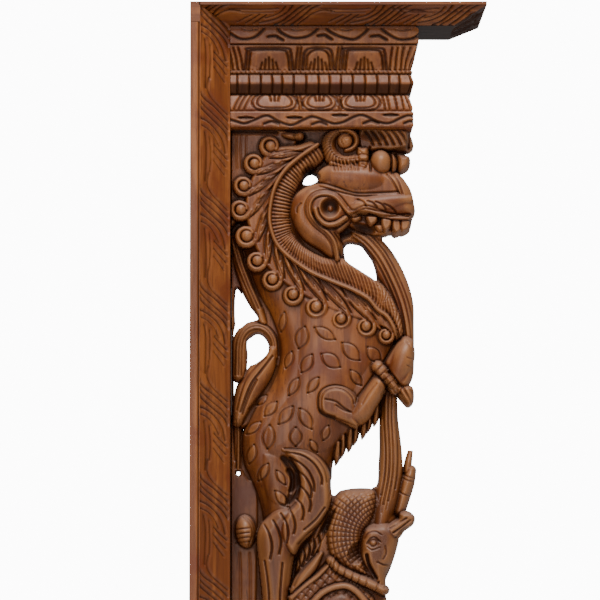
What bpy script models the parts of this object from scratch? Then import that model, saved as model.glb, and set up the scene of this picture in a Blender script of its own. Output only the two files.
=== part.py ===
"""Carved wooden corbel bracket: a back board, a shelf and a corbel carved from one block.

The bracket hangs on a wall. The wall is the plane x = 0, the bracket stands out along +X, its width
runs along Y, and the origin is the middle of the back board's rear face. The corbel is carved alike on
both sides. Its side view is drawn on a pattern sheet, whose rows and columns are equal shares of the
figure's height, and each form on the sheet says how far the wood stands out from the middle plane.
"""

import math

import bmesh
import bpy
import numpy as np

# Driving sizes, in metres.
BRACKET_HEIGHT = 0.900
BOARD_WIDTH = 0.156
BACK_THICKNESS = 0.0355
BACK_STRIP = 0.008
BACK_BEVEL_WIDTH = 0.028
SHELF_LENGTH = 0.2675
SHELF_THICKNESS = 0.0183
SHELF_EDGE = 0.0032
SHELF_BEVEL_WIDTH = 0.029
CAPITAL_REACH = 0.202
CAPITAL_WIDTH = 0.096
CROWN_BAND_HEIGHT = 0.0171
CYMA_HEIGHT = 0.0258
BEAD_ROW_HEIGHT = 0.0182
PETAL_BAND_HEIGHT = 0.0154
FASCIA_HEIGHT = 0.0156
FOOT_MARGIN = 0.026
BEAD_PITCH = 0.0107
GAP = 0.0003

TOP = BRACKET_HEIGHT / 2
SHELF_UNDERSIDE = TOP - SHELF_THICKNESS
CAPITAL_HEIGHT = CROWN_BAND_HEIGHT + CYMA_HEIGHT + BEAD_ROW_HEIGHT + PETAL_BAND_HEIGHT + FASCIA_HEIGHT
CAPITAL_TOP = SHELF_UNDERSIDE - GAP
CAPITAL_FOOT = CAPITAL_TOP - CAPITAL_HEIGHT
CORBEL_BACK = BACK_THICKNESS + GAP
FIGURE_HEIGHT = CAPITAL_FOOT + TOP - FOOT_MARGIN

# The pattern sheet: columns run out from the wall, rows run down.
SHEET_BACK = 231.0
SHEET_TOP = 129.0
SHEET_FOOT = 965.0
SHEET_FRONT = 424.0
SHEET_STEP = 1.6
SHEET_OVERLAP = 5.0
UNIT = FIGURE_HEIGHT / (SHEET_FOOT - SHEET_TOP)
EDGE_ROUND = 9.0
FULL_DEPTH = 46.0
LEAST_DEPTH = 4.0
LEAF_PAD = 2.0
FIGURE_TRIANGLES = 7800

grid_u, grid_v = np.meshgrid(
    np.arange(SHEET_BACK - 2 * SHEET_STEP, SHEET_FRONT, SHEET_STEP),
    np.arange(SHEET_TOP - SHEET_OVERLAP - 2 * SHEET_STEP, SHEET_FOOT + 2 * SHEET_STEP, SHEET_STEP),
)
inside = np.full(grid_u.shape, -50.0)
depth = np.zeros(grid_u.shape)


def clear_scene():
    for item in list(bpy.data.objects):
        bpy.data.objects.remove(item, do_unlink=True)


def new_collection(name):
    group = bpy.data.collections.new(name)
    bpy.context.scene.collection.children.link(group)
    return group


def wood(name, colour, roughness):
    material = bpy.data.materials.new(name)
    material.use_nodes = True
    shader = material.node_tree.nodes["Principled BSDF"]
    shader.inputs["Base Color"].default_value = (*colour, 1.0)
    shader.inputs["Roughness"].default_value = roughness
    shader.inputs["Metallic"].default_value = 0.0
    return material


def add_object(name, mesh, group, material=None):
    piece = bpy.data.objects.new(name, mesh)
    group.objects.link(piece)
    if material is not None:
        mesh.materials.append(material)
    return piece


def as_cutter(piece):
    piece.hide_render = True
    piece.display_type = "WIRE"
    return piece


def boolean(piece, tool, operation):
    modifier = piece.modifiers.new(operation.lower() + " " + tool.name, "BOOLEAN")
    modifier.operation = operation
    modifier.solver = "EXACT"
    modifier.object = tool
    return modifier


# Lines on the pattern sheet.


def curve_through(points, closed=False, steps=5):
    """A smooth line through the points; the values after (u, v) are carried along."""
    knots = np.array(points, dtype=float)
    count = len(knots)
    spans = count if closed else count - 1
    line = []
    for span in range(spans):
        if closed:
            p0, p1, p2, p3 = (knots[(span + k - 1) % count] for k in range(4))
        else:
            p0, p1, p2, p3 = (knots[min(max(span + k - 1, 0), count - 1)] for k in range(4))
        for t in np.arange(steps) / steps:
            line.append(0.5 * (2 * p1 + (p2 - p0) * t + (2 * p0 - 5 * p1 + 4 * p2 - p3) * t ** 2
                               + (3 * p1 - p0 - 3 * p2 + p3) * t ** 3))
    line.append(knots[0] if closed else knots[-1])
    return np.array(line)


def window(low, high):
    """The rows and columns of the sheet between two corners."""
    first = np.maximum(((low - [grid_u[0, 0], grid_v[0, 0]]) / SHEET_STEP).astype(int), 0)
    last = np.maximum(((high - [grid_u[0, 0], grid_v[0, 0]]) / SHEET_STEP).astype(int) + 2, 0)
    return slice(first[1], last[1]), slice(first[0], last[0])


def trace(line, reach):
    """Distance from the sheet's points to a line, and the line's own values at the nearest place."""
    area = window(line[:, :2].min(axis=0) - reach, line[:, :2].max(axis=0) + reach)
    u, v = grid_u[area], grid_v[area]
    distance = np.full(u.shape, 1000.0)
    values = np.zeros(u.shape + (line.shape[1] - 2,))
    for start, end in zip(line, line[1:]):
        run = end[:2] - start[:2]
        share = ((u - start[0]) * run[0] + (v - start[1]) * run[1]) / max(run @ run, 1e-9)
        share = np.clip(share, 0.0, 1.0)
        away = np.hypot(u - start[0] - share * run[0], v - start[1] - share * run[1])
        nearer = away < distance
        distance[nearer] = away[nearer]
        mixed = start[2:] + share[..., None] * (end[2:] - start[2:])
        values[nearer] = mixed[nearer]
    return area, distance, values


def encloses(line, area):
    """Which of the sheet's points lie inside a closed line."""
    u, v = grid_u[area], grid_v[area]
    odd = np.zeros(u.shape, dtype=bool)
    for (u0, v0), (u1, v1) in zip(line[:, :2], line[1:, :2]):
        if v0 == v1:
            continue
        crossing = (v0 > v) != (v1 > v)
        odd ^= crossing & (u < u0 + (v - v0) * (u1 - u0) / (v1 - v0))
    return odd


# Forms carved on the pattern sheet. Widths and depths are in the sheet's units.


def raise_wood(area, within, height):
    """Add a form: where it is inside, the wood reaches at least to its height."""
    inside[area] = np.maximum(inside[area], within)
    depth[area] = np.where(within > 0, np.maximum(depth[area], height), depth[area])


def roll(points, base=0.0):
    """A rounded strand through points of (column, row, half width, height)."""
    line = curve_through(points)
    area, away, values = trace(line, line[:, 2].max() + 2)
    half, peak = values[..., 0], values[..., 1]
    arch = np.sqrt(np.clip(1 - (away / np.maximum(half, 0.1)) ** 2, 0, 1))
    raise_wood(area, half - away, base + (peak - base) * arch)


def plate(points, height, edge, base=0.0):
    """A form with a drawn outline, rounded over the width of its edge up to its height."""
    line = curve_through(points, closed=True)
    area, away, _ = trace(line, 4 * SHEET_STEP)
    within = np.where(encloses(line, area), away, -away)
    arch = np.sqrt(np.clip(1 - (1 - np.clip(within / edge, 0, 1)) ** 2, 0, 1))
    raise_wood(area, within, base + (height - base) * arch)


def dome(u, v, half_length, half_width, angle, height, base=0.0):
    """An egg-shaped swelling, its length turned by an angle in degrees."""
    reach = max(half_length, half_width) + 2
    area = window(np.array([u - reach, v - reach]), np.array([u + reach, v + reach]))
    turn = math.radians(angle)
    du, dv = grid_u[area] - u, v - grid_v[area]
    along = (du * math.cos(turn) + dv * math.sin(turn)) / half_length
    across = (dv * math.cos(turn) - du * math.sin(turn)) / half_width
    radius = np.hypot(along, across)
    arch = np.sqrt(np.clip(1 - radius ** 2, 0, 1))
    raise_wood(area, (1 - radius) * min(half_length, half_width), base + (height - base) * arch)


def pierce(points):
    """A gap that goes right through the block."""
    line = curve_through(points, closed=True)
    area, away, _ = trace(line, 12)
    within = np.where(encloses(line, area), away, -away)
    inside[area] = np.minimum(inside[area], -within)


def groove(points, half_width, cut):
    """A hollow run of the gouge along a line."""
    line = curve_through(points)
    area, away, _ = trace(line, half_width + 2)
    depth[area] -= cut * np.clip(1 - (away / half_width) ** 2, 0, 1)


def swell(u, v, length, width, angle, amount):
    """A low leaf-shaped pad on the surface that is there already."""
    reach = length / 2 + 2
    area = window(np.array([u - reach, v - reach]), np.array([u + reach, v + reach]))
    turn = math.radians(angle)
    du, dv = grid_u[area] - u, v - grid_v[area]
    along = np.abs(du * math.cos(turn) + dv * math.sin(turn)) * 2 / length
    across = np.abs(dv * math.cos(turn) - du * math.sin(turn)) * 2 / width
    depth[area] += amount * np.clip(1 - along ** 1.6 - across ** 2, 0, 1) ** 0.5


def curl(u, v, size, height):
    """A curled lock: a raised ring round a small ball."""
    turns = np.linspace(0, 2 * math.pi, 13)
    ring = [(u + 0.68 * size * math.cos(a), v + 0.68 * size * math.sin(a), 0.34 * size, height) for a in turns]
    roll(ring, base=height - 5)
    dome(u, v, 0.36 * size, 0.36 * size, 0, height, height - 5)


# The yali, its mane and its head.

MANE_CURLS = [
    (301, 136, 7), (273.4, 146.7, 12), (256, 164, 11), (245, 185, 11), (242, 208, 11),
    (246.5, 233.5, 12), (257.7, 259, 11.5), (274, 277.5, 11.5), (292.8, 293, 11.5), (317.4, 305, 12),
    (339.8, 316, 12), (363.4, 325, 11.5), (384, 336, 10),
]
MANE_RIB = [
    (317, 146), (300, 157.5), (285, 171), (274.6, 189), (270, 212), (271, 228), (277, 244), (289, 257),
    (310, 272), (330, 281), (352, 290), (368, 299), (377, 309.6), (387, 317), (393, 327), (398, 338),
]
BODY_LEAVES = [
    (283, 322, 20, 7, 80), (302, 338, 23, 13, 75), (325, 334, 24, 10, -30), (351, 352, 25, 13, -45),
    (374, 355, 20, 12, -50), (307, 364, 21, 11, 60), (331, 361, 23, 13, -35), (356, 378, 19, 9, -55),
    (289, 360, 18, 8, 70), (294, 387, 20, 9, 62), (313, 385, 19, 9, 55), (271, 409, 19, 10, 50),
    (286, 415, 23, 11, 52), (306, 419, 24, 11, -60), (254, 428, 19, 8, 40), (269, 437, 24, 12, 85),
    (296, 437, 19, 12, 90), (252, 454, 20, 9, 75), (266, 472, 19, 10, 70), (326, 433, 16, 8, 70),
]
TEETH = [(357, 220, 5, 4), (371, 222, 5.5, 5.5), (385.5, 228, 6, 6.5), (398, 230, 5, 7), (406, 229, 4, 6.5)]


def carve_field():
    plate([(228, 126), (300, 126), (398, 126), (410, 129), (411, 150), (360, 152), (330, 150), (300, 160),
           (262, 190), (250, 240), (240, 300), (228, 330)], 15, 3)
    plate([(228, 126), (262, 127), (286, 128), (300, 140), (276, 172), (254, 208), (238, 222), (228, 222)], 25, 4)
    plate([(228, 316), (233, 318), (234, 400), (236, 430), (238, 480), (238, 560), (228, 565)], 14, 4)
    plate([(228, 478), (250, 479), (259, 490), (258, 600), (256, 740), (228, 745)], 15, 3)
    plate([(240, 556), (262, 540), (300, 545), (326, 520), (350, 560), (380, 640), (380, 742), (240, 742)], 13, 5)
    plate([(296, 150), (320, 147), (350, 146), (380, 147), (400, 149), (407, 153), (407, 166), (400, 173),
           (384, 176), (356, 178), (334, 178), (316, 188), (300, 202), (288, 196)], 16, 4)
    plate([(290, 218), (318, 238), (334, 224), (352, 220), (382, 232), (376, 246), (352, 242), (345, 247),
           (345, 266), (326, 268), (300, 254)], 21, 4)
    plate([(258, 296), (272, 298), (284, 330), (284, 372), (272, 400), (252, 424), (238, 428), (240, 408),
           (256, 388), (268, 366), (271, 348), (266, 334), (254, 326)], 19, 4)
    plate([(236, 452), (250, 462), (264, 488), (270, 514), (264, 546), (252, 546), (246, 500), (236, 482)], 13, 3)
    plate([(360, 127), (386, 127), (404, 127.5), (409.5, 131), (409.5, 146), (405, 150), (380, 151), (360, 150)],
          31, 4)
    for shift in (0, 12, 24, 36):
        groove([(366 + shift, 132), (371 + shift, 139), (373 + shift, 147)], 2.4, 3)
    plate([(397, 154), (405, 153.5), (411, 155.5), (411, 164), (407, 169.5), (398, 170.5)], 30, 7, 8)


def carve_trunk():
    trunk = [(318, 250), (350, 262), (368, 276), (384, 296), (397, 320), (398, 352), (386, 384), (382, 404),
             (378, 422), (364, 433), (351, 446), (340, 456), (333, 466), (331, 498), (318, 524), (296, 560),
             (266, 560), (262, 512), (251, 480), (243, 460), (242, 434), (256, 402), (268, 386), (277, 362),
             (277, 340), (268, 314), (258, 296), (246, 262), (240, 226), (241, 190), (258, 160), (290, 140),
             (318, 150), (306, 178), (300, 206), (304, 236)]
    plate(trunk, 34, 24, 6)
    plate([(296, 290), (340, 296), (376, 318), (386, 350), (362, 392), (340, 440), (302, 470), (262, 458),
           (262, 420), (286, 384), (292, 340)], 39, 34, 24)
    groove([(379, 426), (363, 436), (349, 452), (334, 465)], 4, 3)
    for leaf in BODY_LEAVES:
        swell(*leaf, LEAF_PAD)


def carve_mane():
    fringe = [(322, 158), (305, 170), (290, 188), (283, 212), (287, 236), (303, 254), (330, 268), (352, 279),
              (372, 293), (388, 310), (398, 330)]
    roll([(u, v, 13, 38) for u, v in fringe], 26)
    roll([(u, v, 4.2, 41) for u, v in MANE_RIB], 30)
    for u, v, size in MANE_CURLS:
        dome(u, v, size + 1.5, size + 1.5, 0, 31, 16)
        curl(u, v, size, 41)
    groove([(343, 262), (362, 272), (378, 290), (390, 312)], 4, 5)


def carve_head():
    plate([(320, 169), (344, 157), (372, 159), (392, 170), (399, 172), (406, 179), (412.5, 190), (415.5, 203),
           (416, 211), (411, 217), (384, 219), (361, 215), (349, 219), (341, 226), (341, 238), (343.5, 247),
           (342, 258), (337, 262), (331, 259.5), (320, 250.5), (306, 241.5), (296, 231), (290.5, 219), (291, 206),
           (296, 196), (306, 186), (318, 181)], 41, 12, 18)
    dome(355, 179, 38, 13, -5, 46, 34)
    roll([(320, 185, 3, 42), (338, 191, 3, 45), (356, 194, 3, 45), (376, 193, 3, 45), (397, 195, 3, 42)], 36)
    dome(329, 212, 18, 17, 0, 45, 36)
    groove([(324, 209), (331, 206), (337, 211), (331, 215), (324, 209)], 6, 7)
    roll([(344, 211, 3, 44), (352, 216, 3.4, 45), (364, 212, 3.4, 45), (384, 217, 3.4, 45), (410, 216, 3, 42)], 34)
    dome(380, 204, 24, 7, 6, 45, 38)
    plate([(345, 214), (380, 215), (410, 216), (410.5, 229), (403, 233), (391, 233), (385, 235), (366, 235),
           (350, 227)], 27, 3, 12)
    for u, v, half_width, half_height in TEETH:
        dome(u, v, half_height, half_width, 90, 40, 12)


def carve_crest():
    plate([(324, 134), (342, 126.5), (358, 132), (362, 150), (360, 170), (340, 171), (324, 158)], 32, 6)
    roll([(357, 160, 7, 41), (334, 158, 8, 41), (327, 146, 7, 41), (334, 134, 6, 41), (345, 131, 5, 41),
          (354, 136, 4.5, 41), (352, 147, 3.5, 40)], 20)
    dome(344, 140.7, 6.4, 6.4, 0, 44, 34)
    roll([(332, 163.5, 4, 40), (345, 167.5, 4, 41), (358, 167, 4, 40)], 26)
    plate([(356.5, 148), (369, 148), (369, 171), (356.5, 170)], 42, 5, 18)
    plate([(371.5, 154), (378, 150.5), (386, 151.5), (389, 157), (389, 168), (384, 175), (377, 174), (371.5, 169)],
          44, 9, 18)
    plate([(390, 154), (395, 156), (397.5, 163), (395.5, 170), (390, 172)], 39, 4, 16)


def carve_band():
    upper = [(356, 232, 8, 24), (368, 241, 12, 27), (381, 257, 14, 28), (393, 280, 14.5, 28),
             (402, 303, 12.5, 28), (407, 326, 8, 28), (409, 348, 6, 27)]
    roll(upper, 8)
    groove([(372, 238), (386, 256), (398, 279), (407, 308), (409, 330)], 2.4, 3)
    groove([(362, 240), (378, 258), (391, 284), (401, 312)], 2.4, 3)
    lower = [(390, 394, 8, 25), (389.5, 420, 9.5, 27), (391, 450, 11.5, 28), (390, 476, 13.5, 29),
             (385, 502, 16, 33), (381, 522, 12, 36)]
    roll(lower, 8)
    groove([(386, 410), (385, 440), (384, 480)], 2.4, 3)
    groove([(393, 406), (396, 440), (396, 476)], 2.4, 3)


def carve_arms():
    plate([(319.4, 391.8), (326, 386.5), (336, 384.6), (347, 387.6), (356, 396), (358, 404), (358, 428),
           (346, 424), (334.5, 419.5), (322.5, 415.6), (318, 409.5), (317.3, 399.5)], 44, 7, 34)
    roll([(350, 417, 9, 43), (359, 413, 12, 45), (370, 398, 10.5, 46), (379, 384, 9.5, 45)], 26)
    roll([(377, 367.5, 5.2, 47), (387, 378.5, 5.2, 47), (397.5, 389.5, 5.2, 47)], 36)
    plate([(395, 388), (404, 384), (413, 386), (415, 396), (413, 404.5), (408, 407), (403, 402.5), (398, 396)],
          38, 6, 14)
    groove([(400, 388), (404, 395), (409, 404)], 2, 2.5)
    groove([(406, 386), (409, 393), (413, 401)], 2, 2.5)
    plate([(384, 363), (389, 353), (396, 342.5), (402.5, 336.5), (409, 336.5), (414, 342), (415, 360), (413.5, 377),
           (407, 387.5), (398, 387), (392, 379), (387, 371)], 39, 7, 18)
    dome(401.5, 362, 27, 12.5, 72, 47, 30)


def carve_tail():
    roll([(234, 238, 5, 20), (240, 262, 7, 24), (248, 286, 7.5, 24), (257, 304, 7, 24), (263, 322, 6, 24)], 6)
    roll([(239, 375, 7.4, 25), (239.5, 358, 8, 25), (240.4, 342, 8.4, 25), (246, 331, 7.8, 25), (256, 326.5, 6.8, 25),
          (266, 329.5, 6.4, 25), (273.5, 340, 6, 25), (275, 356, 5, 25)], 4)
    roll([(273, 350, 6, 30), (266, 366, 12.5, 30), (257, 380, 15, 30), (249, 393, 14.5, 30), (242, 408, 10, 30),
          (238, 422, 6, 30)], 4)
    roll([(238, 414, 5, 20), (238, 440, 5, 18), (239, 478, 4, 15)], 4)
    groove([(272, 356), (260, 372), (247, 392)], 2, 3)
    dome(246, 531, 10.5, 16.5, 6, 30, 14)


def carve_hind_leg():
    leg = [(266, 518), (276, 507), (290, 504), (301, 512), (300, 530), (294, 560), (291, 580), (288, 606),
           (288, 650), (292, 684), (306, 700), (322, 706), (330, 718), (328, 730), (262, 730), (256, 712),
           (262, 680), (264, 640), (263, 600), (259, 560), (257, 538), (260, 526)]
    plate(leg, 41, 14, 20)
    plate([(254, 448), (278, 444), (292, 456), (298, 474), (296, 496), (284, 514), (270, 508), (260, 486)], 38.5, 17, 16)
    fin = [(279, 448), (300, 446.5), (314, 452), (323.5, 460.5), (330, 473), (332, 490), (330.5, 507), (323, 521),
           (313, 532.5), (302, 543), (295, 554), (285, 548), (279, 530), (284, 514), (296, 500), (299, 480), (292, 462)]
    plate(fin, 43.5, 7, 24)
    groove([(286, 452), (301, 455), (314, 463), (321, 476), (322, 486)], 2.4, 3)
    groove([(291, 458), (301, 464), (309, 472), (314, 484), (313, 496)], 2.4, 3)
    groove([(301, 486), (308, 494), (311, 503), (309, 512)], 2.2, 2.6)
    groove([(287, 462), (291, 480), (286, 500)], 6, 8)
    groove([(268, 514), (272, 540), (276, 566)], 2.4, 3.5)
    groove([(280, 516), (285, 540), (284, 570)], 2.4, 3.5)
    for shift in (0, 14, 28):
        groove([(288 + shift, 712), (293 + shift, 730)], 2.4, 5)


# The horned beast under the yali, and the foot of the corbel.


def carve_beast():
    plate([(308, 520), (326, 498), (345, 489), (372, 488), (388, 496), (399, 520), (400, 535), (397, 550),
           (391, 568), (386, 580), (386, 592), (390, 620), (392, 660), (384, 700), (376, 740), (290, 740), (290, 690),
           (296, 620), (306, 560)], 30, 14, 10)
    plate([(328, 516), (333, 500), (345, 490.5), (360, 489.5), (374, 490.5), (376, 506), (371, 522), (364, 532),
           (361, 545), (364, 562), (367, 574), (352, 571), (338, 563), (329, 554), (326, 535)], 40, 13, 24)
    plate([(362, 530), (374, 522), (386, 521), (397, 530), (398, 542), (393, 560), (386, 574), (386, 590),
           (376, 590), (370, 574), (360, 556)], 41, 12, 22)
    groove([(369, 541), (373, 538), (377, 541), (373, 545), (369, 541)], 2, 2.5)
    plate([(384, 528), (391, 521.5), (397.5, 518), (399, 512.5), (405, 510), (411, 511.5), (415.5, 517), (413.5, 524.5),
           (405, 531), (400, 537.5), (391, 537.5)], 38, 6, 12)
    roll([(399.5, 510, 7, 27), (403.5, 496, 7.6, 26), (408, 482, 7.4, 25), (411.5, 470, 5.6, 20)], 4)
    roll([(407.5, 471, 4.2, 18), (409, 461, 3.8, 16), (411, 451, 2.6, 10)], 4)
    plate([(294, 592), (306, 580), (322, 570), (330, 562), (342, 572), (360, 584), (374, 600), (340, 612),
           (296, 612)], 39, 9, 28)
    roll([(294, 590, 5, 37), (302, 578, 6.5, 40), (313, 565, 5.5, 41), (321, 553, 3, 38)], 22)
    roll([(331, 560, 5, 43), (338, 567.5, 5, 43), (352, 575, 5, 43), (366, 581, 5, 43), (385, 589.5, 5, 43)], 28)
    roll([(312, 602, 4.5, 43), (322, 592, 4.5, 43), (334, 586, 4.5, 43), (347, 585, 4.5, 43), (358, 592, 4.5, 43),
          (368, 604, 4.5, 43)], 34)
    plate([(300, 610), (340, 592), (372, 606), (384, 640), (378, 690), (340, 712), (300, 700)], 42, 30, 24)
    roll([(352, 660, 13, 44), (366, 690, 12, 44), (372, 716, 10, 42), (384, 734, 9, 40)], 26)
    groove([(340, 640), (330, 668), (338, 700)], 3, 5)


def carve_foot():
    plate([(228, 728), (388, 728), (393, 735), (388, 742), (228, 742)], 42, 4, 20)
    plate([(228, 740), (382, 740), (372, 760), (350, 774), (228, 774)], 40, 8, 10)
    plate([(228, 772), (352, 772), (357, 780), (352, 788), (228, 788)], 40, 5, 20)
    plate([(228, 786), (344, 786), (338, 812), (318, 846), (290, 876), (262, 896), (228, 902)], 37, 14, 10)
    for turn in range(5):
        angle = math.radians(8 + 17 * turn)
        far = (228 + 104 * math.cos(angle), 786 + 104 * math.sin(angle))
        near = (228 + 40 * math.cos(angle), 786 + 40 * math.sin(angle))
        groove([near, far], 3, 6)
    plate([(228, 896), (258, 894), (263, 902), (258, 910), (228, 910)], 26, 4, 12)
    plate([(228, 908), (250, 908), (254, 922), (246, 944), (228, 965)], 22, 9, 6)


def pierce_gaps():
    pierce([(303.5, 181.5), (305.5, 175), (312, 171.8), (317.3, 175), (317.3, 179), (310, 182.3)])
    pierce([(345, 246), (352, 243), (361, 244), (367, 251), (373, 260), (376, 269), (377, 279), (370, 275),
            (359, 268), (347, 259)])
    pierce([(378, 426), (380, 445), (379, 465), (378, 482), (372, 487), (345, 488), (334, 495), (331, 480),
            (331, 470), (345, 458), (356, 445), (370, 430)])
    pierce([(236, 288), (246, 301), (258, 317), (249, 320), (236, 326)])
    pierce([(247, 341), (252, 336), (258, 335), (264, 338), (268, 345), (268, 351), (262, 358), (251, 364),
            (248, 354)])
    pierce([(405, 412), (416, 410), (420, 420), (420, 446), (406, 448), (403, 428)])


# From the sheet to the solid.


def settled_cells(kept):
    """Leave no two cells that meet only at a corner, which would pinch the solid."""
    while True:
        a, b, c, d = kept[:-1, :-1], kept[:-1, 1:], kept[1:, :-1], kept[1:, 1:]
        pinched = (a & d & ~b & ~c) | (b & c & ~a & ~d)
        if not pinched.any():
            return kept
        rows, columns = np.nonzero(pinched)
        for row, column in zip(rows, columns):
            kept[row:row + 2, column:column + 2] = False


def figure_mesh():
    """The near half of the carved block: the sheet's points, drawn forward by their depth."""
    within = np.minimum(inside, grid_u - SHEET_BACK + 0.4 * SHEET_STEP)
    rounding = np.sqrt(np.clip(1 - (1 - np.clip(within / EDGE_ROUND, 0, 1)) ** 2, 0, 1))
    rounding = np.where(grid_u - SHEET_BACK < EDGE_ROUND, np.maximum(rounding, inside > EDGE_ROUND / 2), rounding)
    solid = within > 0
    reach = np.clip(np.minimum(depth, FULL_DEPTH * rounding), LEAST_DEPTH, FULL_DEPTH + 2)
    kept = settled_cells(solid[:-1, :-1] & solid[:-1, 1:] & solid[1:, :-1] & solid[1:, 1:])

    padded = np.pad(kept, 1)
    around = padded[:-1, :-1] & padded[:-1, 1:] & padded[1:, :-1] & padded[1:, 1:]
    slope_v, slope_u = np.gradient(inside, SHEET_STEP)
    steepness = np.maximum(slope_u ** 2 + slope_v ** 2, 0.3)
    push = np.clip(inside, 0, 1.2 * SHEET_STEP)
    rim = ~around
    u = np.where(rim, grid_u - push * slope_u / steepness, grid_u)
    v = np.where(rim, grid_v - push * slope_v / steepness, grid_v)
    u = np.maximum(u, SHEET_BACK)
    reach = np.where(rim, LEAST_DEPTH, reach)

    used = padded[:-1, :-1] | padded[:-1, 1:] | padded[1:, :-1] | padded[1:, 1:]
    number = np.cumsum(used).reshape(used.shape) - 1
    x = CORBEL_BACK + (u - SHEET_BACK) * UNIT
    z = CAPITAL_FOOT - (v - SHEET_TOP) * UNIT
    points = np.stack([x, -reach * UNIT, z], axis=-1)[used]
    rows, columns = np.nonzero(kept)
    faces = np.stack([number[rows, columns], number[rows + 1, columns],
                      number[rows + 1, columns + 1], number[rows, columns + 1]], axis=1)
    mesh = bpy.data.meshes.new("figure")
    mesh.from_pydata(points.tolist(), [], faces.tolist())
    return mesh


def wall_to_middle(shape):
    """Carry the open rim straight back to the middle plane, where the other side meets it."""
    rim = [edge for edge in shape.edges if edge.is_boundary]
    made = bmesh.ops.extrude_edge_only(shape, edges=rim)["geom"]
    for item in made:
        if isinstance(item, bmesh.types.BMVert):
            item.co.y = 0.0


def finish_half(mesh):
    """Drop specks that the outline leaves beside the figure, and wall its rim."""
    shape = bmesh.new()
    shape.from_mesh(mesh)
    left = set(shape.verts)
    islands = []
    while left:
        stack = [left.pop()]
        island = set(stack)
        while stack:
            for edge in stack.pop().link_edges:
                for vertex in edge.verts:
                    if vertex in left:
                        left.remove(vertex)
                        island.add(vertex)
                        stack.append(vertex)
        islands.append(island)
    islands.sort(key=len)
    for island in islands[:-1]:
        bmesh.ops.delete(shape, geom=list(island), context="VERTS")
    wall_to_middle(shape)
    shape.to_mesh(mesh)
    shape.free()


def make_figure(group):
    carve_field()
    carve_tail()
    carve_trunk()
    carve_hind_leg()
    carve_beast()
    carve_band()
    carve_mane()
    carve_head()
    carve_crest()
    carve_arms()
    carve_foot()
    pierce_gaps()
    mesh = figure_mesh()
    finish_half(mesh)
    figure = add_object("figure", mesh, group)
    mirror = figure.modifiers.new("other side", "MIRROR")
    mirror.use_axis = (False, True, False)
    mirror.merge_threshold = 0.0001
    triangles = 4 * len(mesh.polygons)
    thin = figure.modifiers.new("broad facets", "DECIMATE")
    thin.ratio = FIGURE_TRIANGLES / triangles
    thin.use_symmetry = True
    thin.symmetry_axis = "Y"
    return as_cutter(figure)


# The capital, the boards.


def stack(name, sections):
    """A closed block through rectangles (back, front, half width, height), listed from the bottom up."""
    shape = bmesh.new()
    rings = []
    for back, front, half, z in sections:
        corners = ((back, -half), (front, -half), (front, half), (back, half))
        rings.append([shape.verts.new((x, y, z)) for x, y in corners])
    for low, high in zip(rings, rings[1:]):
        for k in range(4):
            shape.faces.new((low[k], low[(k + 1) % 4], high[(k + 1) % 4], high[k]))
    shape.faces.new(reversed(rings[0]))
    shape.faces.new(rings[-1])
    mesh = bpy.data.meshes.new(name)
    shape.to_mesh(mesh)
    shape.free()
    return mesh


def capital_profile():
    """Steps of the moulding: (depth below the capital's top, how far it stands past its mean face)."""
    crown = CROWN_BAND_HEIGHT
    cyma = crown + CYMA_HEIGHT
    beads = cyma + BEAD_ROW_HEIGHT
    petals = beads + PETAL_BAND_HEIGHT
    fascia = petals + FASCIA_HEIGHT
    steps = [(0, 0.0012), (0.0014, 0.0036), (0.003, 0.0048), (crown - 0.001, 0.0048), (crown, 0.0038)]
    steps += [(crown + share * CYMA_HEIGHT, 0.0038 - 0.0064 * share ** 1.5) for share in (0.2, 0.4, 0.6, 0.8)]
    steps += [(cyma - 0.002, -0.0022), (cyma, -0.0008)]
    middle = (cyma + beads) / 2
    steps += [(cyma + 0.001, -0.0012), (middle - 0.001, 0.0004), (middle + 0.001, 0.0004),
              (beads - 0.0015, -0.0022), (beads, -0.0052)]
    steps += [(beads + 0.0008, -0.0052), (beads + 0.0012, -0.0043), (petals - 0.004, -0.0008),
              (petals - 0.001, -0.0003), (petals, -0.0024)]
    steps += [(petals + 0.0008, -0.0024), (petals + 0.0014, 0.0002), (fascia - 0.001, 0.0002), (fascia, -0.0008)]
    return steps


def make_capital(group):
    sections = [(CORBEL_BACK, CAPITAL_REACH + past, CAPITAL_WIDTH / 2 + past, CAPITAL_TOP - down)
                for down, past in reversed(capital_profile())]
    return as_cutter(add_object("capital", stack("capital", sections), group))


def make_bead_cuts(group):
    """The upright cuts that part the bead row into segments, on the three open sides."""
    low = CAPITAL_TOP - CROWN_BAND_HEIGHT - CYMA_HEIGHT - BEAD_ROW_HEIGHT + 0.001
    high = low + BEAD_ROW_HEIGHT - 0.0024
    cut_width = 0.0012
    cut_depth = 0.0022
    shape = bmesh.new()

    def slot(x, y, size_x, size_y):
        made = bmesh.ops.create_cube(shape, size=1.0)["verts"]
        bmesh.ops.scale(shape, vec=(size_x, size_y, high - low), verts=made)
        bmesh.ops.translate(shape, vec=(x, y, (low + high) / 2), verts=made)

    side_count = int((CAPITAL_REACH - CORBEL_BACK - BEAD_PITCH) / BEAD_PITCH)
    for number in range(1, side_count + 1):
        for side in (-1, 1):
            slot(CORBEL_BACK + number * BEAD_PITCH, side * CAPITAL_WIDTH / 2, cut_width, 2 * cut_depth)
    front_count = int(CAPITAL_WIDTH / BEAD_PITCH)
    first = -(front_count - 1) / 2 * BEAD_PITCH
    for number in range(front_count):
        slot(CAPITAL_REACH, first + number * BEAD_PITCH, 2 * cut_depth, cut_width)
    mesh = bpy.data.meshes.new("bead cuts")
    shape.to_mesh(mesh)
    shape.free()
    return as_cutter(add_object("bead cuts", mesh, group))


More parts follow.
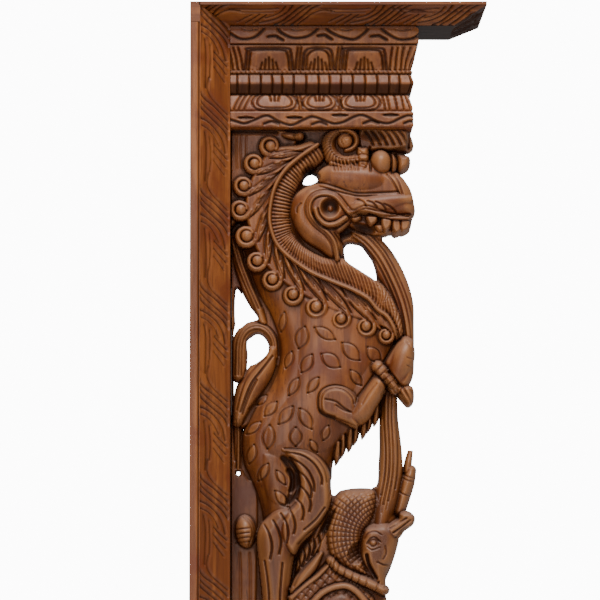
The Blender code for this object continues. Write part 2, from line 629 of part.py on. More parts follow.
def shelf_sections(margin):
    half = BOARD_WIDTH / 2 + margin
    bevel = SHELF_BEVEL_WIDTH
    return [
        (BACK_STRIP - margin, SHELF_LENGTH - bevel + margin, half - bevel, SHELF_UNDERSIDE - margin),
        (BACK_STRIP - margin, SHELF_LENGTH + margin, half, TOP - SHELF_EDGE - margin),
        (BACK_STRIP - margin, SHELF_LENGTH + margin, half, TOP + margin),
    ]


def shelf_end_sections(margin):
    half = BOARD_WIDTH / 2 + margin
    return [(-margin, BACK_STRIP + 0.001, half, SHELF_UNDERSIDE - margin),
            (-margin, BACK_STRIP + 0.001, half, TOP + margin)]


def make_shelf(boards, cutters, material):
    shelf = add_object("shelf", stack("shelf", shelf_sections(0.0)), boards, material)
    end = as_cutter(add_object("shelf end", stack("shelf end", shelf_end_sections(0.0)), cutters))
    boolean(shelf, end, "UNION")
    return shelf


def make_back_board(boards, cutters, material):
    half = BOARD_WIDTH / 2
    inner = half - BACK_BEVEL_WIDTH
    quirk = 0.0012
    section = [
        (0, -half), (BACK_STRIP - quirk, -half), (BACK_STRIP, -half + quirk), (BACK_STRIP + quirk, -half + quirk / 2),
        (BACK_THICKNESS, -inner), (BACK_THICKNESS, inner), (BACK_STRIP + quirk, half - quirk / 2),
        (BACK_STRIP, half - quirk), (BACK_STRIP - quirk, half), (0, half),
    ]
    shape = bmesh.new()
    bottom = [shape.verts.new((x, y, -TOP)) for x, y in section]
    outline = shape.faces.new(bottom)
    raised = bmesh.ops.extrude_face_region(shape, geom=[outline])["geom"]
    moved = [item for item in raised if isinstance(item, bmesh.types.BMVert)]
    bmesh.ops.translate(shape, vec=(0, 0, BRACKET_HEIGHT), verts=moved)
    bmesh.ops.recalc_face_normals(shape, faces=shape.faces[:])
    mesh = bpy.data.meshes.new("back_board")
    shape.to_mesh(mesh)
    shape.free()
    board = add_object("back_board", mesh, boards, material)
    room = as_cutter(add_object("room for the shelf", stack("room", shelf_sections(GAP)), cutters))
    end_room = as_cutter(add_object("room for its end", stack("end room", shelf_end_sections(GAP)), cutters))
    boolean(board, room, "DIFFERENCE")
    boolean(board, end_room, "DIFFERENCE")
    return board


def make_corbel(boards, cutters, material):
    figure = make_figure(cutters)
    capital = make_capital(cutters)
    bead_cuts = make_bead_cuts(cutters)
    corbel = add_object("corbel", capital.data.copy(), boards, material)
    boolean(corbel, bead_cuts, "DIFFERENCE")
    boolean(corbel, figure, "UNION")
    corbel.data.shade_smooth()
    corbel.data.set_sharp_from_angle(angle=math.radians(40))
    return corbel


def main():
    clear_scene()
    boards = new_collection("corbel bracket")
    cutters = new_collection("cutters and carving")
    make_shelf(boards, cutters, wood("shelf wood", (0.30, 0.125, 0.05), 0.42))
    make_back_board(boards, cutters, wood("back board wood", (0.28, 0.115, 0.045), 0.45))
    make_corbel(boards, cutters, wood("corbel wood", (0.29, 0.12, 0.045), 0.4))


main()
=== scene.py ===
# %% [markdown]
# # A carved wooden corbel bracket
#
# A yali bracket has three pieces of wood: an upright board against the wall, a shelf on top, and between
# them a corbel carved from one block. The frame from the CAD model gives their sizes and places. This
# lesson adds the carver's work: the mane, the leaves, the petals, the dark polish in every hollow, and
# painted shade in the deepest hollows and recesses.

# %% The frame
import math

import bmesh
import bpy
import numpy as np
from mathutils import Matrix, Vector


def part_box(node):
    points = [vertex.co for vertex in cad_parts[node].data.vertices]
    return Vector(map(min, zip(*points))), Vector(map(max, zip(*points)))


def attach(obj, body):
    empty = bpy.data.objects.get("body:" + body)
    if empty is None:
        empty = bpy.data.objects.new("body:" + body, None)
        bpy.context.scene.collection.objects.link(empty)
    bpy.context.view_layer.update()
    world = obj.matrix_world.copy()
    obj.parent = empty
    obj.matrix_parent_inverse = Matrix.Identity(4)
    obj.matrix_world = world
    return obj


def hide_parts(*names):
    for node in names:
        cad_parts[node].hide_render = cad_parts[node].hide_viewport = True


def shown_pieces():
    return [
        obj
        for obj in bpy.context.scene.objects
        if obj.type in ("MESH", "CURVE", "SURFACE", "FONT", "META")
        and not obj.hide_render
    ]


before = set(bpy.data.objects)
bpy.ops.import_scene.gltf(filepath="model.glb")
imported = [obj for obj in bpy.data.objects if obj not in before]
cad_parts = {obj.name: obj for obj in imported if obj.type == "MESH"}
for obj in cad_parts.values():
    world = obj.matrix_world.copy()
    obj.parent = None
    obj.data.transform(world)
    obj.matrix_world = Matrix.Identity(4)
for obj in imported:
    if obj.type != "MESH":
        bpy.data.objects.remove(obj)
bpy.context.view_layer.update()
BACK_LOW, BACK_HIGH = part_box("back_board")
SHELF_LOW, SHELF_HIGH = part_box("shelf")
CORBEL_LOW, CORBEL_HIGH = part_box("corbel")
print("back board", BACK_LOW, BACK_HIGH)
print("shelf", SHELF_LOW, SHELF_HIGH)
print("corbel", CORBEL_LOW, CORBEL_HIGH)

# %% [markdown]
# ## The camera
#
# The photograph was taken from about three metres, level with the middle of the bracket, with a long
# lens. A long lens keeps the carving nearly flat to the eye. The view looks a little upwards, so that
# the shelf's dark underside shows.

# %% The camera
PHOTO_PIXEL, PICTURE_SIDE, SENSOR_WIDTH = 0.0009, 600, 36
PRINCIPAL_COLUMN, PRINCIPAL_ROW = 300, 500
WALL_COLUMN, MIDDLE_ROW = 190, 501
EYE_DISTANCE = 3.17
TRUE_DEPTH = 0.067

eye_x = (PRINCIPAL_COLUMN - WALL_COLUMN) * PHOTO_PIXEL
eye_z = (MIDDLE_ROW - PRINCIPAL_ROW) * PHOTO_PIXEL
focal_pixels = (EYE_DISTANCE - TRUE_DEPTH) / PHOTO_PIXEL
pitch = math.atan((PRINCIPAL_ROW - PICTURE_SIDE / 2) / focal_pixels)
camera = bpy.data.objects.new("camera", bpy.data.cameras.new("camera"))
camera.data.sensor_width = SENSOR_WIDTH
camera.data.lens = focal_pixels / math.cos(pitch) / PICTURE_SIDE * SENSOR_WIDTH
camera.data.clip_start = 0.05
camera.location = (eye_x, -EYE_DISTANCE, eye_z)
camera.rotation_euler = (math.pi / 2 + pitch, 0, 0)
bpy.context.scene.collection.objects.link(camera)
bpy.context.scene.camera = camera
print(f"lens {camera.data.lens:.0f} mm, looking up {math.degrees(pitch):.1f} degrees")

# %% [markdown]
# ## A pattern sheet
#
# A carver of brackets draws the side view on the plank, cuts the outline with a saw, and then works down
# from both faces. Here a pattern sheet does the same. It is a grid of points with three numbers each:
# how far a point lies inside the outline, how far the wood stands out from the middle plane, and how
# dark it is painted, which is dark polish in the cuts and painted shade in the deep hollows. Modelling
# each curl as a mesh and joining hundreds of them would be slow and would leave messy seams, so every
# form is drawn on the sheet as a function.

# %% A sheet and its lines
class Sheet:
    """A grid of columns and rows that keeps what is inside the outline, how deep, and how dark."""

    def __init__(self, columns, rows, inside=-50.0):
        self.columns, self.rows = columns, rows
        self.u, self.v = np.meshgrid(columns, rows)
        self.inside = np.full(self.u.shape, inside)
        self.depth = np.zeros(self.u.shape)
        self.stain = np.zeros(self.u.shape)

    def window(self, low, high):
        """The part of the sheet between two corners."""
        first = np.searchsorted(self.rows, low[1]), np.searchsorted(self.columns, low[0])
        last = np.searchsorted(self.rows, high[1]), np.searchsorted(self.columns, high[0])
        return slice(first[0], last[0]), slice(first[1], last[1])


def eased(x):
    """A soft step from 0 to 1."""
    x = np.clip(x, 0, 1)
    return x * x * (3 - 2 * x)


def curve_through(points, closed=False, steps=6):
    """A smooth line through the points; the values after (u, v) are carried along."""
    knots = np.array(points, dtype=float)
    count = len(knots)
    line = []
    for span in range(count if closed else count - 1):
        if closed:
            p0, p1, p2, p3 = (knots[(span + k - 1) % count] for k in range(4))
        else:
            p0, p1, p2, p3 = (knots[min(max(span + k - 1, 0), count - 1)] for k in range(4))
        for t in np.arange(steps) / steps:
            line.append(0.5 * (2 * p1 + (p2 - p0) * t + (2 * p0 - 5 * p1 + 4 * p2 - p3) * t ** 2
                               + (3 * p1 - p0 - 3 * p2 + p3) * t ** 3))
    line.append(knots[0] if closed else knots[-1])
    return np.array(line)


def trace(sheet, line, reach):
    """Distance from the sheet's points to a line, and the line's own values at the nearest place."""
    area = sheet.window(line[:, :2].min(axis=0) - reach, line[:, :2].max(axis=0) + reach)
    u, v = sheet.u[area], sheet.v[area]
    distance = np.full(u.shape, 1000.0)
    values = np.zeros(u.shape + (line.shape[1] - 2,))
    if not u.size:
        return area, distance, values
    for start, end in zip(line, line[1:]):
        low = np.minimum(start[:2], end[:2]) - reach
        high = np.maximum(start[:2], end[:2]) + reach
        rows = slice(np.searchsorted(v[:, 0], low[1]), np.searchsorted(v[:, 0], high[1]))
        columns = slice(np.searchsorted(u[0], low[0]), np.searchsorted(u[0], high[0]))
        near = (rows, columns)
        run = end[:2] - start[:2]
        share = ((u[near] - start[0]) * run[0] + (v[near] - start[1]) * run[1]) / max(run @ run, 1e-9)
        share = np.clip(share, 0.0, 1.0)
        away = np.hypot(u[near] - start[0] - share * run[0], v[near] - start[1] - share * run[1])
        nearer = away < distance[near]
        distance[near] = np.where(nearer, away, distance[near])
        mixed = start[2:] + share[..., None] * (end[2:] - start[2:])
        values[near] = np.where(nearer[..., None], mixed, values[near])
    return area, distance, values


def encloses(sheet, line, area):
    """Which points of an area lie inside a closed line."""
    u, v = sheet.u[area], sheet.v[area]
    odd = np.zeros(u.shape, dtype=bool)
    for (u0, v0), (u1, v1) in zip(line[:, :2], line[1:, :2]):
        if v0 != v1:
            crossing = (v0 > v) != (v1 > v)
            odd ^= crossing & (u < u0 + (v - v0) * (u1 - u0) / (v1 - v0))
    return odd

# %% [markdown]
# ## The carver's strokes
#
# Two kinds of stroke follow. Forms stand out and keep whichever is higher: a roll is a rounded strand,
# a plate has a drawn outline, a dome is an egg. Cuts go in: a groove takes wood away along a line and
# leaves dark polish and painted shade in it, which is what makes the drawing read from across a room.

# %% Forms that stand out
def raise_wood(sheet, area, within, height):
    """Keep whichever is higher, the wood that is there or a new form, which starts without polish or
    painted shade.
    """
    sheet.inside[area] = np.maximum(sheet.inside[area], within)
    old = sheet.depth[area]
    rises = (within > 0) & (height > old)
    sheet.depth[area] = np.where(rises, height, old)
    sheet.stain[area] = np.where(rises, 0.0, sheet.stain[area])


def roll(sheet, points, base=0.0, round_to=0.5):
    """A strand through points of (column, row, half width, height)."""
    line = curve_through(points)
    area, away, values = trace(sheet, line, line[:, 2].max() + 1.5)
    half, peak = values[..., 0], values[..., 1]
    arch = np.clip(1 - (away / np.maximum(half, 0.1)) ** 2, 0, 1) ** round_to
    raise_wood(sheet, area, half - away, base + (peak - base) * arch)


def band(sheet, points, half_width, height, base):
    """A strand of even width and height."""
    roll(sheet, [(u, v, half_width, height) for u, v in points], base)


def tapered(sheet, points, half_widths, height, base):
    """A strand of even height whose width changes."""
    roll(sheet, [(u, v, half, height) for (u, v), half in zip(points, half_widths)], base)


def plate(sheet, points, height, edge, base=0.0):
    """A form with a drawn outline, rounded over the width of its edge."""
    line = curve_through(points, closed=True)
    reach = np.ptp(line[:, :2], axis=0).max() / 2
    area, away, _ = trace(sheet, line, max(4.0, min(edge + 2, reach)))
    enclosed = encloses(sheet, line, area)
    within = np.where(enclosed, away, -away)
    arch = np.sqrt(np.clip(1 - (1 - np.clip(within / edge, 0, 1)) ** 2, 0, 1))
    raise_wood(sheet, area, within, base + (height - base) * arch)


def egg(sheet, u, v, half_length, half_width, angle):
    """The area round an egg-shaped place, and each point's radius in it; angle in degrees."""
    reach = max(half_length, half_width) + 2
    area = sheet.window((u - reach, v - reach), (u + reach, v + reach))
    turn = math.radians(angle)
    du, dv = sheet.u[area] - u, v - sheet.v[area]
    along = (du * math.cos(turn) + dv * math.sin(turn)) / half_length
    across = (dv * math.cos(turn) - du * math.sin(turn)) / half_width
    return area, along, across


def dome(sheet, u, v, half_length, half_width, angle, height, base=0.0):
    """An egg-shaped swelling."""
    area, along, across = egg(sheet, u, v, half_length, half_width, angle)
    radius = np.hypot(along, across)
    arch = np.sqrt(np.clip(1 - radius ** 2, 0, 1))
    raise_wood(sheet, area, (1 - radius) * min(half_length, half_width), base + (height - base) * arch)

# %% Cuts that go in
# A cut's width next to the width that it is given.
GOUGE = 1.3


def groove(sheet, points, half_width=1.2, cut=1.6, stain=0.8, closed=False):
    """A run of the gouge, dark at the bottom."""
    line = curve_through(points, closed)
    reach = GOUGE * half_width
    area, away, _ = trace(sheet, line, reach + 2)
    hollow = np.clip(1 - (away / reach) ** 2, 0, 1)
    sheet.depth[area] -= cut * hollow
    sheet.stain[area] = np.maximum(sheet.stain[area], stain * np.clip(1.3 - away / reach, 0, 1))


def scoop(sheet, u, v, half_length, half_width, angle, cut, stain=0.6):
    """A round hollow."""
    area, along, across = egg(sheet, u, v, half_length, half_width, angle)
    hollow = np.clip(1 - along ** 2 - across ** 2, 0, 1)
    sheet.depth[area] -= cut * hollow ** 0.6
    sheet.stain[area] = np.maximum(sheet.stain[area], stain * hollow ** 0.5)


def pierce(sheet, points):
    """A gap that goes right through the block."""
    line = curve_through(points, closed=True)
    area, away, _ = trace(sheet, line, 12)
    within = np.where(encloses(sheet, line, area), away, -away)
    sheet.inside[area] = np.minimum(sheet.inside[area], -within)


def beside(points, offset):
    """The same line, moved sideways by an offset."""
    line = curve_through(points)[:, :2]
    run = np.gradient(line, axis=0)
    run /= np.maximum(np.linalg.norm(run, axis=1, keepdims=True), 1e-9)
    return [tuple(point) for point in (line + offset * np.stack([-run[:, 1], run[:, 0]], axis=1))[::3]]


def flutes(sheet, points, offsets, *cut):
    """Grooves side by side along one line."""
    for offset in offsets:
        groove(sheet, beside(points, offset), *cut)


def strokes(sheet, lines, *cut):
    """Grooves that share one width and depth."""
    for points in lines:
        groove(sheet, points, *cut)


def arc(u, v, radii, angles):
    """Points round a place, each with its own radius and angle."""
    return [(u + r * math.cos(a), v + r * math.sin(a)) for r, a in zip(radii, angles)]


def shrunk(points, u, v, share):
    """A line drawn in towards a place."""
    return [(u + share * (a - u), v + share * (b - v)) for a, b in points]


LEAF_PAD = 1.2


def leaf_outline(sheet, u, v, length, width, angle):
    """The eye-shaped leaf of the yali's coat: two arcs that meet in points, and a low pad between."""
    turn = math.radians(angle)
    area, along, across = egg(sheet, u, v, length / 2, width / 2, angle)
    sheet.depth[area] += LEAF_PAD * np.clip(1 - np.abs(along) ** 1.6 - across ** 2, 0, 1) ** 0.5
    for side in (-1, 1):
        arc = []
        for t in np.linspace(-1, 1, 7):
            a, b = t * length / 2, side * (1 - t * t) * width / 2
            arc.append((u + a * math.cos(turn) - b * math.sin(turn),
                        v - a * math.sin(turn) - b * math.cos(turn)))
        groove(sheet, arc, 0.85, 1.25, 0.8)

# %% [markdown]
# ## Drawing the yali
#
# The sheet counts in units of 0.91 mm: columns run out from the wall and rows run down from the top. The
# shown part of the bracket gets a fine grid, and the plainer foot below it a coarse one, because every
# square of the grid becomes four triangles of the finished carving.

# %% The yali's sheet
SHEET_BACK, SHEET_TOP, SHEET_FRONT = 231.0, 129.0, 424.0
SHEET_FOOT = 965.0
FINE_STEP, COARSE_STEP = 0.75, 2.5
CAPITAL_FOOT = 0.3393
UNIT = (CAPITAL_FOOT - CORBEL_LOW[2]) / (SHEET_FOOT - SHEET_TOP)
CORBEL_BACK = CORBEL_LOW[0]
LAST_FINE_ROW = 608.0
FULL_DEPTH = 46.0

fine_rows = np.arange(SHEET_TOP - 5, LAST_FINE_ROW, FINE_STEP)
coarse_rows = np.arange(LAST_FINE_ROW, SHEET_FOOT + 3, COARSE_STEP)
yali = Sheet(np.arange(SHEET_BACK - FINE_STEP, SHEET_FRONT, FINE_STEP),
             np.concatenate([fine_rows, coarse_rows]))
print("sheet of", yali.u.shape, "points, one unit is", round(UNIT * 1000, 4), "mm")

# %% [markdown]
# ## The ground and the tail
#
# Behind the mane the carver left a plain field against the back board. The tail comes down as a leafy
# strip, loops round a see-through hole, and ends as a narrow strap.

# %% The ground and the tail
def carve_ground(s):
    plate(s, [(228, 126), (300, 126), (398, 126), (410, 129), (411, 150), (360, 152), (330, 150),
              (300, 160),
              (262, 190), (250, 240), (240, 300), (228, 330)], 15, 3)
    plate(s, [(228, 126), (262, 127), (286, 128), (300, 140), (276, 172), (254, 208), (238, 222),
              (228, 222)], 28, 4)
    plate(s, [(228, 316), (233, 318), (234, 400), (236, 430), (238, 480), (238, 560), (228, 565)], 14, 4)
    plate(s, [(228, 478), (250, 478.5), (259, 490), (258, 600), (256, 740), (228, 745)], 15, 3)
    plate(s, [(240, 556), (262, 540), (300, 545), (326, 520), (350, 560), (380, 640), (380, 742),
              (240, 742)],
          13, 5)
    plate(s, [(296, 150), (320, 147), (350, 146), (380, 147), (400, 149), (407, 153), (407, 166),
              (400, 173),
              (384, 176), (356, 178), (334, 178), (316, 188), (300, 202), (288, 196)], 16, 4)
    plate(s, [(290, 218), (318, 238), (334, 224), (352, 220), (382, 232), (376, 246), (352, 242),
              (345, 247),
              (345, 266), (326, 268), (300, 254)], 21, 4)
    plate(s, [(258, 296), (272, 298), (284, 330), (284, 372), (272, 400), (252, 424), (238, 428),
              (240, 408),
              (256, 388), (268, 366), (271, 348), (266, 334), (254, 326)], 19, 4)
    plate(s, [(236, 452), (250, 462), (264, 488), (270, 514), (264, 546), (252, 546), (246, 500),
              (236, 482)], 13, 3)
    # Painted shade: a dark groove under the capital, where its fascia overhangs the field.
    groove(s, [(230, 130.6), (262, 131), (276, 131.4)], 2.6, 2.5, 1.0)
    for column in (237, 241.5, 247):
        groove(s, [(column, 134), (column - 0.6, 150), (column + 0.3, 168)], 0.9, 0.6, 0.3)
    for column in (240, 250):
        groove(s, [(column, 552), (column + 1, 580), (column, 640), (column - 1, 730)], 1.1, 0.8, 0.4)


def carve_block_under_capital(s):
    plate(s, [(360, 127), (386, 127), (404, 127.5), (409.5, 131), (409.5, 146), (405, 150), (380, 151),
              (360, 150)],
          31, 4)
    # Painted shade in the recess of the leafy block.
    scoop(s, 372, 134, 16, 7, -8, 3, 0.75)
    for shift in range(0, 42, 7):
        groove(s, [(365 + shift, 130), (370 + shift, 137), (373.5 + shift, 144)], 1.2, 2.4, 0.85)
    groove(s, [(386, 152), (396, 148.6), (410, 146)], 1.2, 2.4, 0.95)
    plate(s, [(397, 154), (405, 153.4), (411, 155.5), (411, 164), (407, 169.5), (398, 170.5)], 34, 6, 10)
    groove(s, [(396.6, 153), (396.4, 170)], 1.0, 3, 1.0)
    groove(s, [(397, 152.2), (404, 151.2), (411, 152)], 0.9, 2, 0.9)


def carve_tail(s):
    roll(s, [(234, 236, 5, 20), (240, 262, 7, 24), (248, 286, 7.5, 24), (257, 304, 7, 24),
             (263, 322, 6, 24)], 6)
    flutes(s, [(234, 240), (241, 264), (250, 287), (259, 308)], (-3.4, 0.4, 4), 0.95, 1.8)
    loop = [(239, 375), (239.5, 358), (240.4, 342), (246, 331), (256, 326.5), (266, 329.5), (273.5, 340),
            (275, 356)]
    tapered(s, loop, (7.4, 8, 8.4, 7.8, 6.8, 6.4, 6, 5), 25, 4)
    flutes(s, loop, (-3.8, -0.6, 2.8), 0.95, 1.9)
    strap = [(273, 350), (266, 366), (257, 380), (249, 393), (242, 408), (238, 422)]
    tapered(s, strap, (6, 12.5, 15, 14.5, 10, 6), 30, 4)
    groove(s, [(273, 356), (262, 370), (252, 383), (246, 397), (241, 412)], 1.2, 2.6, 0.95)
    groove(s, [(266, 358), (255, 368), (246, 380), (241, 394), (237, 410)], 1.0, 1.9)
    groove(s, [(257, 380), (250, 394), (243, 414)], 1.1, 2.1)
    groove(s, [(277, 366), (270, 382), (259, 396), (249, 409)], 0.95, 1.6)
    roll(s, [(238, 414, 5, 20), (238, 440, 5, 18), (239, 478, 4, 15)], 4)
    for column in (236.5, 240):
        groove(s, [(column, 420), (column + 0.6, 440), (column, 468)], 0.9, 1.5)


# %% [markdown]
# ## The trunk and its leaves
#
# The body is one full form from the throat to the haunch, rounder towards its edges. The coat is drawn
# with eye-shaped leaves. A list of centres, lengths, widths and angles places them one by one, as the
# carver did, because they follow the swell of the body and no two are alike.

# %% The trunk and its leaves
COAT_LEAVES = [
    (283, 322, 20, 7, 80), (302, 338, 23, 13, 75), (325, 334, 24, 10, -30), (351, 352, 25, 13, -45),
    (374, 355, 20, 12, -50), (307, 364, 21, 11, 60), (331, 361, 23, 13, -35), (356, 378, 19, 9, -55),
    (289, 360, 18, 8, 70), (294, 387, 20, 9, 62), (313.5, 385.5, 19, 9, 55), (271, 409, 19, 10, 50),
    (286, 415.5, 23, 11, 52), (306, 419, 24, 11, -60), (254, 428, 19, 8, 40), (269, 437, 24, 12, 85),
    (296, 437, 19, 12, 90), (252, 454, 20, 9, 75), (266, 472, 19, 10, 70), (326, 433, 16, 8, 70),
    (314, 446, 14, 7, -60), (262, 400, 14, 7, 45), (280, 475.5, 16, 7, -65), (281, 497, 18, 9, -55),
]


# Where the shaggy hairs of the belly end.
BELLY_TIPS = [(375, 424), (368, 430.5), (363, 437), (354.5, 443), (349, 450), (341.5, 456), (336.5, 463)]


def carve_trunk(s):
    outline = [(318, 250), (350, 262), (368, 276), (384, 296), (397, 320), (398, 352), (386, 384),
               (382, 404),
               (377, 420), (363, 430), (349, 442), (339, 453), (333, 465), (331, 498), (318, 524),
               (296, 560),
               (266, 560), (262, 512), (251, 480), (243, 460), (242, 434), (256, 402), (268, 386),
               (277, 362),
               (277, 340), (268, 314), (258, 296), (246, 262), (240, 226), (241, 190), (258, 160),
               (290, 140),
               (318, 150), (306, 178), (300, 206), (304, 236)]
    plate(s, outline, 34, 24, 6)
    belly = [(296, 290), (340, 296), (376, 318), (386, 350), (362, 392), (340, 440), (302, 470), (262, 458),
             (262, 420), (286, 384), (292, 340)]
    plate(s, belly, 39, 34, 24)
    for u, v in BELLY_TIPS:
        roll(s, [(u + 2, v - 20, 3.6, 31), (u + 1.4, v - 10, 4, 30), (u + 0.6, v - 3, 2.8, 26),
                 (u - 0.4, v + 1.5, 0.8, 18)], 12)
        groove(s, [(u + 4.4, v - 22), (u + 4.2, v - 12), (u + 3.4, v - 3)], 1.1, 3, 0.95)
        groove(s, [(u + 1.2, v - 16), (u + 0.6, v - 8)], 0.7, 1.2, 0.6)
    for leaf in COAT_LEAVES:
        leaf_outline(s, *leaf)


# %% [markdown]
# ## The mane
#
# A rib runs from the crown of the head down to the chest. Towards the face it carries a fringe of short
# cuts, and away from it the hair flows in locks, each ending in a curl round a small ball. The fringe is
# a ripple counted along the rib, because a hundred separate grooves would say the same thing slowly. Each
# lock is one strand that ends in a coil, and the hairs cut along it are blends of the lines on its sides.

# %% The mane
MANE_RIB = [
    (318, 145), (300, 157.5), (285, 171), (274.6, 189), (270, 212), (271, 228), (277, 244), (289, 257),
    (310, 272), (330, 281), (352, 290), (368, 299), (377, 309.6), (387, 317), (393, 327), (398, 338),
]
FRINGE_EDGE = [
    (324, 158), (310, 170), (301, 180), (294, 197), (290, 215), (292, 230), (300, 243), (315, 253),
    (330, 258.5), (345, 258.5), (358, 265), (370, 272.5), (380, 282), (388, 292), (396, 305), (402, 322),
    (403, 338),
]
# Where the locks part from each other on the rib, from the crown down.
LOCK_ROOTS = [
    (317, 144.5), (304, 152.5), (291, 161), (281, 172), (274, 186), (270.3, 203), (269.8, 220),
    (273.5, 237),
    (282, 252), (297, 265), (316, 275.5), (340, 286), (366, 300),
]
# The curl at the end of each lock: its centre and its size.
MANE_CURLS = [
    (270.3, 146, 11.2), (254.3, 163.6, 10.8), (243.7, 186, 10.6), (240.4, 210, 11), (246.5, 236.5, 12),
    (257, 261.5, 11), (272.3, 280.2, 11), (293, 295.5, 11), (316.2, 308, 12), (341, 320, 10.8),
    (366, 327.5, 10.8),
    (386, 336, 9),
]


def strand(curl, first_root, second_root, share, spread=0.45):
    """A hair from the rib to its place on the curl, and the angle at which it lands there.

    The share runs from 0 on the side of the lock before to 1 on the side of the lock after.
    """
    u, v, size = curl
    root = np.array(first_root) + share * (np.array(second_root) - first_root)
    radius = size * (0.55 + spread * share)
    out = root - (u, v)
    distance = math.hypot(*out)
    angle = math.atan2(out[1], out[0]) + math.acos(min(radius / distance, 1)) + 0.18
    landing = np.array((u + radius * math.cos(angle), v + radius * math.sin(angle)))
    run = landing - root
    bulge = 0.07 * np.array((run[1], -run[0]))
    return [tuple(root), tuple(root + 0.35 * run + 0.85 * bulge), tuple(root + 0.7 * run + 0.8 * bulge),
            tuple(landing)], angle


COIL_TURN, LOCK_HEIGHT = math.radians(300), 39.5


def raise_lock(s, curl, first_root, second_root):
    """One strand that ends in a coil round a ball."""
    u, v, size = curl
    height = LOCK_HEIGHT
    middle, angle = strand(curl, first_root, second_root, 0.5)
    width = math.dist(first_root, second_root)
    widths = (0.5 * width, 0.45 * width, 0.26 * width + 0.12 * size, 0.29 * size)
    line = [(*point, half, height) for point, half in zip(middle, widths)]
    for turn in np.linspace(0.08, 1, 13):
        radius = size * (0.76 - 0.16 * turn ** 1.5)
        (coil_point,) = arc(u, v, [radius], [angle + COIL_TURN * turn])
        line.append((*coil_point, size * (0.27 - 0.08 * turn), height + 1))
    roll(s, line, height - 6)
    (ball,) = arc(u, v, [0.08 * size], [angle - math.radians(50)])
    dome(s, *ball, 0.52 * size, 0.52 * size, 0, height + 3.5, height - 4)
    return angle, ball


def cut_lock(s, curl, first_root, second_root, angle, ball):
    """The hairs along a lock, the deep cut beside it, and the hollow round the ball of its curl."""
    u, v, size = curl
    for share, left_out in ((0.15, 6), (0.43, 7), (0.72, 5)):
        hair, _ = strand(curl, first_root, second_root, share)
        groove(s, curve_through(hair)[:-left_out], 0.62, 1.45, 0.72)
    outer, _ = strand(curl, first_root, second_root, 1.0, 0.6)
    groove(s, outer, 0.8, 1.9, 0.85)
    groove(s, arc(u, v, [0.82 * size] * 8, angle + np.linspace(0, 3.6, 8)), 0.6, 0.8, 0.4)
    groove(s, arc(*ball, size * np.linspace(0.54, 0.44, 14), angle + np.linspace(-0.2, 4.9, 14)), 0.65, 1.2,
           0.66)
    groove(s, arc(*ball, [0.24 * size] * 7, angle + np.linspace(2.4, 5.6, 7)), 0.55, 0.8, 0.35)


def carve_hair(s):
    """The locks on their ground: first every form, then the cuts, then the tips between the curls."""
    locks = list(zip(MANE_CURLS, LOCK_ROOTS, LOCK_ROOTS[1:]))
    ground = LOCK_ROOTS + [(u + 0.12 * (root[0] - u), v + 0.12 * (root[1] - v))
                           for (u, v, _), root in zip(MANE_CURLS[::-1], LOCK_ROOTS[::-1])]
    plate(s, ground, 37.5, 4, 24)
    raised = [raise_lock(s, *lock) for lock in locks]
    for lock, (angle, ball) in zip(locks, raised):
        cut_lock(s, *lock, angle, ball)
    for (curl, *_), (following, first_root, second_root) in zip(locks, locks[1:]):
        inner, _ = strand(following, first_root, second_root, 0.0)
        tip = np.array(inner[2]) * 0.55 + np.array(inner[1]) * 0.45
        run = np.array(inner[3]) - inner[1]
        lean = -math.degrees(math.atan2(run[1], run[0]))
        away = np.array((curl[0], curl[1])) - tip
        tip = tip + 1.6 * away / max(np.linalg.norm(away), 1)
        dome(s, *tip, 5.5, 1.9, lean, 41, 34)
        nearer = np.array(first_root) - 0.5 * (np.array(curl[:2]) + following[:2])
        for place, reach in ((0.4, 0.3), (0.52, 0.22), (0.64, 0.3)):
            end = np.array(curl[:2]) + place * (np.array(following[:2]) - curl[:2]) + reach * nearer
            middle = 0.5 * (end + first_root) + 0.05 * np.array((nearer[1], -nearer[0]))
            groove(s, [tuple(first_root), tuple(middle), tuple(end)], 0.6, 1.2, 0.6)


def carve_small_curl(s):
    plate(s, [(280, 134), (288, 130.5), (296, 131), (302, 131), (305, 136), (302, 140.5), (295, 141),
              (286, 139)], 37, 4)
    groove(s, [(283, 135), (290, 133.5), (296, 135.5)], 0.9, 1.5)
    groove(s, [(295.5, 133), (294.5, 137), (297, 140.5)], 0.9, 1.8)
    dome(s, 300.4, 135.8, 4, 4, 0, 40, 30)


def carve_fringe(s):
    """Cuts on the face's side of the rib: broad above, finer and slanting below."""
    rib = curve_through(MANE_RIB)
    strip = [tuple(p) for p in MANE_RIB] + [tuple(p) for p in FRINGE_EDGE[::-1]]
    plate(s, strip, 39, 8, 27)
    length = np.concatenate([[0], np.cumsum(np.hypot(*np.diff(rib, axis=0).T))])
    area, away, values = trace(s, np.column_stack([rib, length]), 34)
    along = values[..., 0]
    low_part = eased((along - 105) / 70)
    count = np.interp(along + 0.9 * low_part * away, (0, 110, 170, 290), (0, 27, 44, 74))
    ripple = 0.5 + 0.5 * np.cos(2 * math.pi * count)
    enclosed = encloses(s, curve_through(strip, closed=True), area)
    s.depth[area] -= np.where(enclosed, (1.8 + 0.1 * away * (1 - low_part)) * ripple ** 1.3, 0)
    darker = np.maximum(s.stain[area], (0.95 - 0.3 * low_part) * ripple ** 2)
    s.stain[area] = np.where(enclosed, darker, s.stain[area])


def carve_mane(s):
    for u, v, size in MANE_CURLS:
        dome(s, u, v, size + 1, size + 1, 0, 32, 14)
    carve_hair(s)
    carve_fringe(s)
    carve_small_curl(s)
    band(s, MANE_RIB, 2.1, 43.5, 37)


# %% [markdown]
# ## The head and its crest
#
# The head looks out from the wall. One band runs round the eye like a spectacle rim: it starts as the
# upper lip, goes over the eye, and comes down behind it as the edge of the beard.

# %% The head
LIP_AND_EYE_BAND = [
    (411, 217.5), (401, 218.3), (388, 217), (376, 213), (365, 210.5), (355, 214.5), (348, 212), (341, 203),
    (334, 196.5), (323, 194.5), (314, 198), (309.5, 206), (310.5, 216), (318, 226), (328, 234), (335, 245),
    (337.5, 259),
]
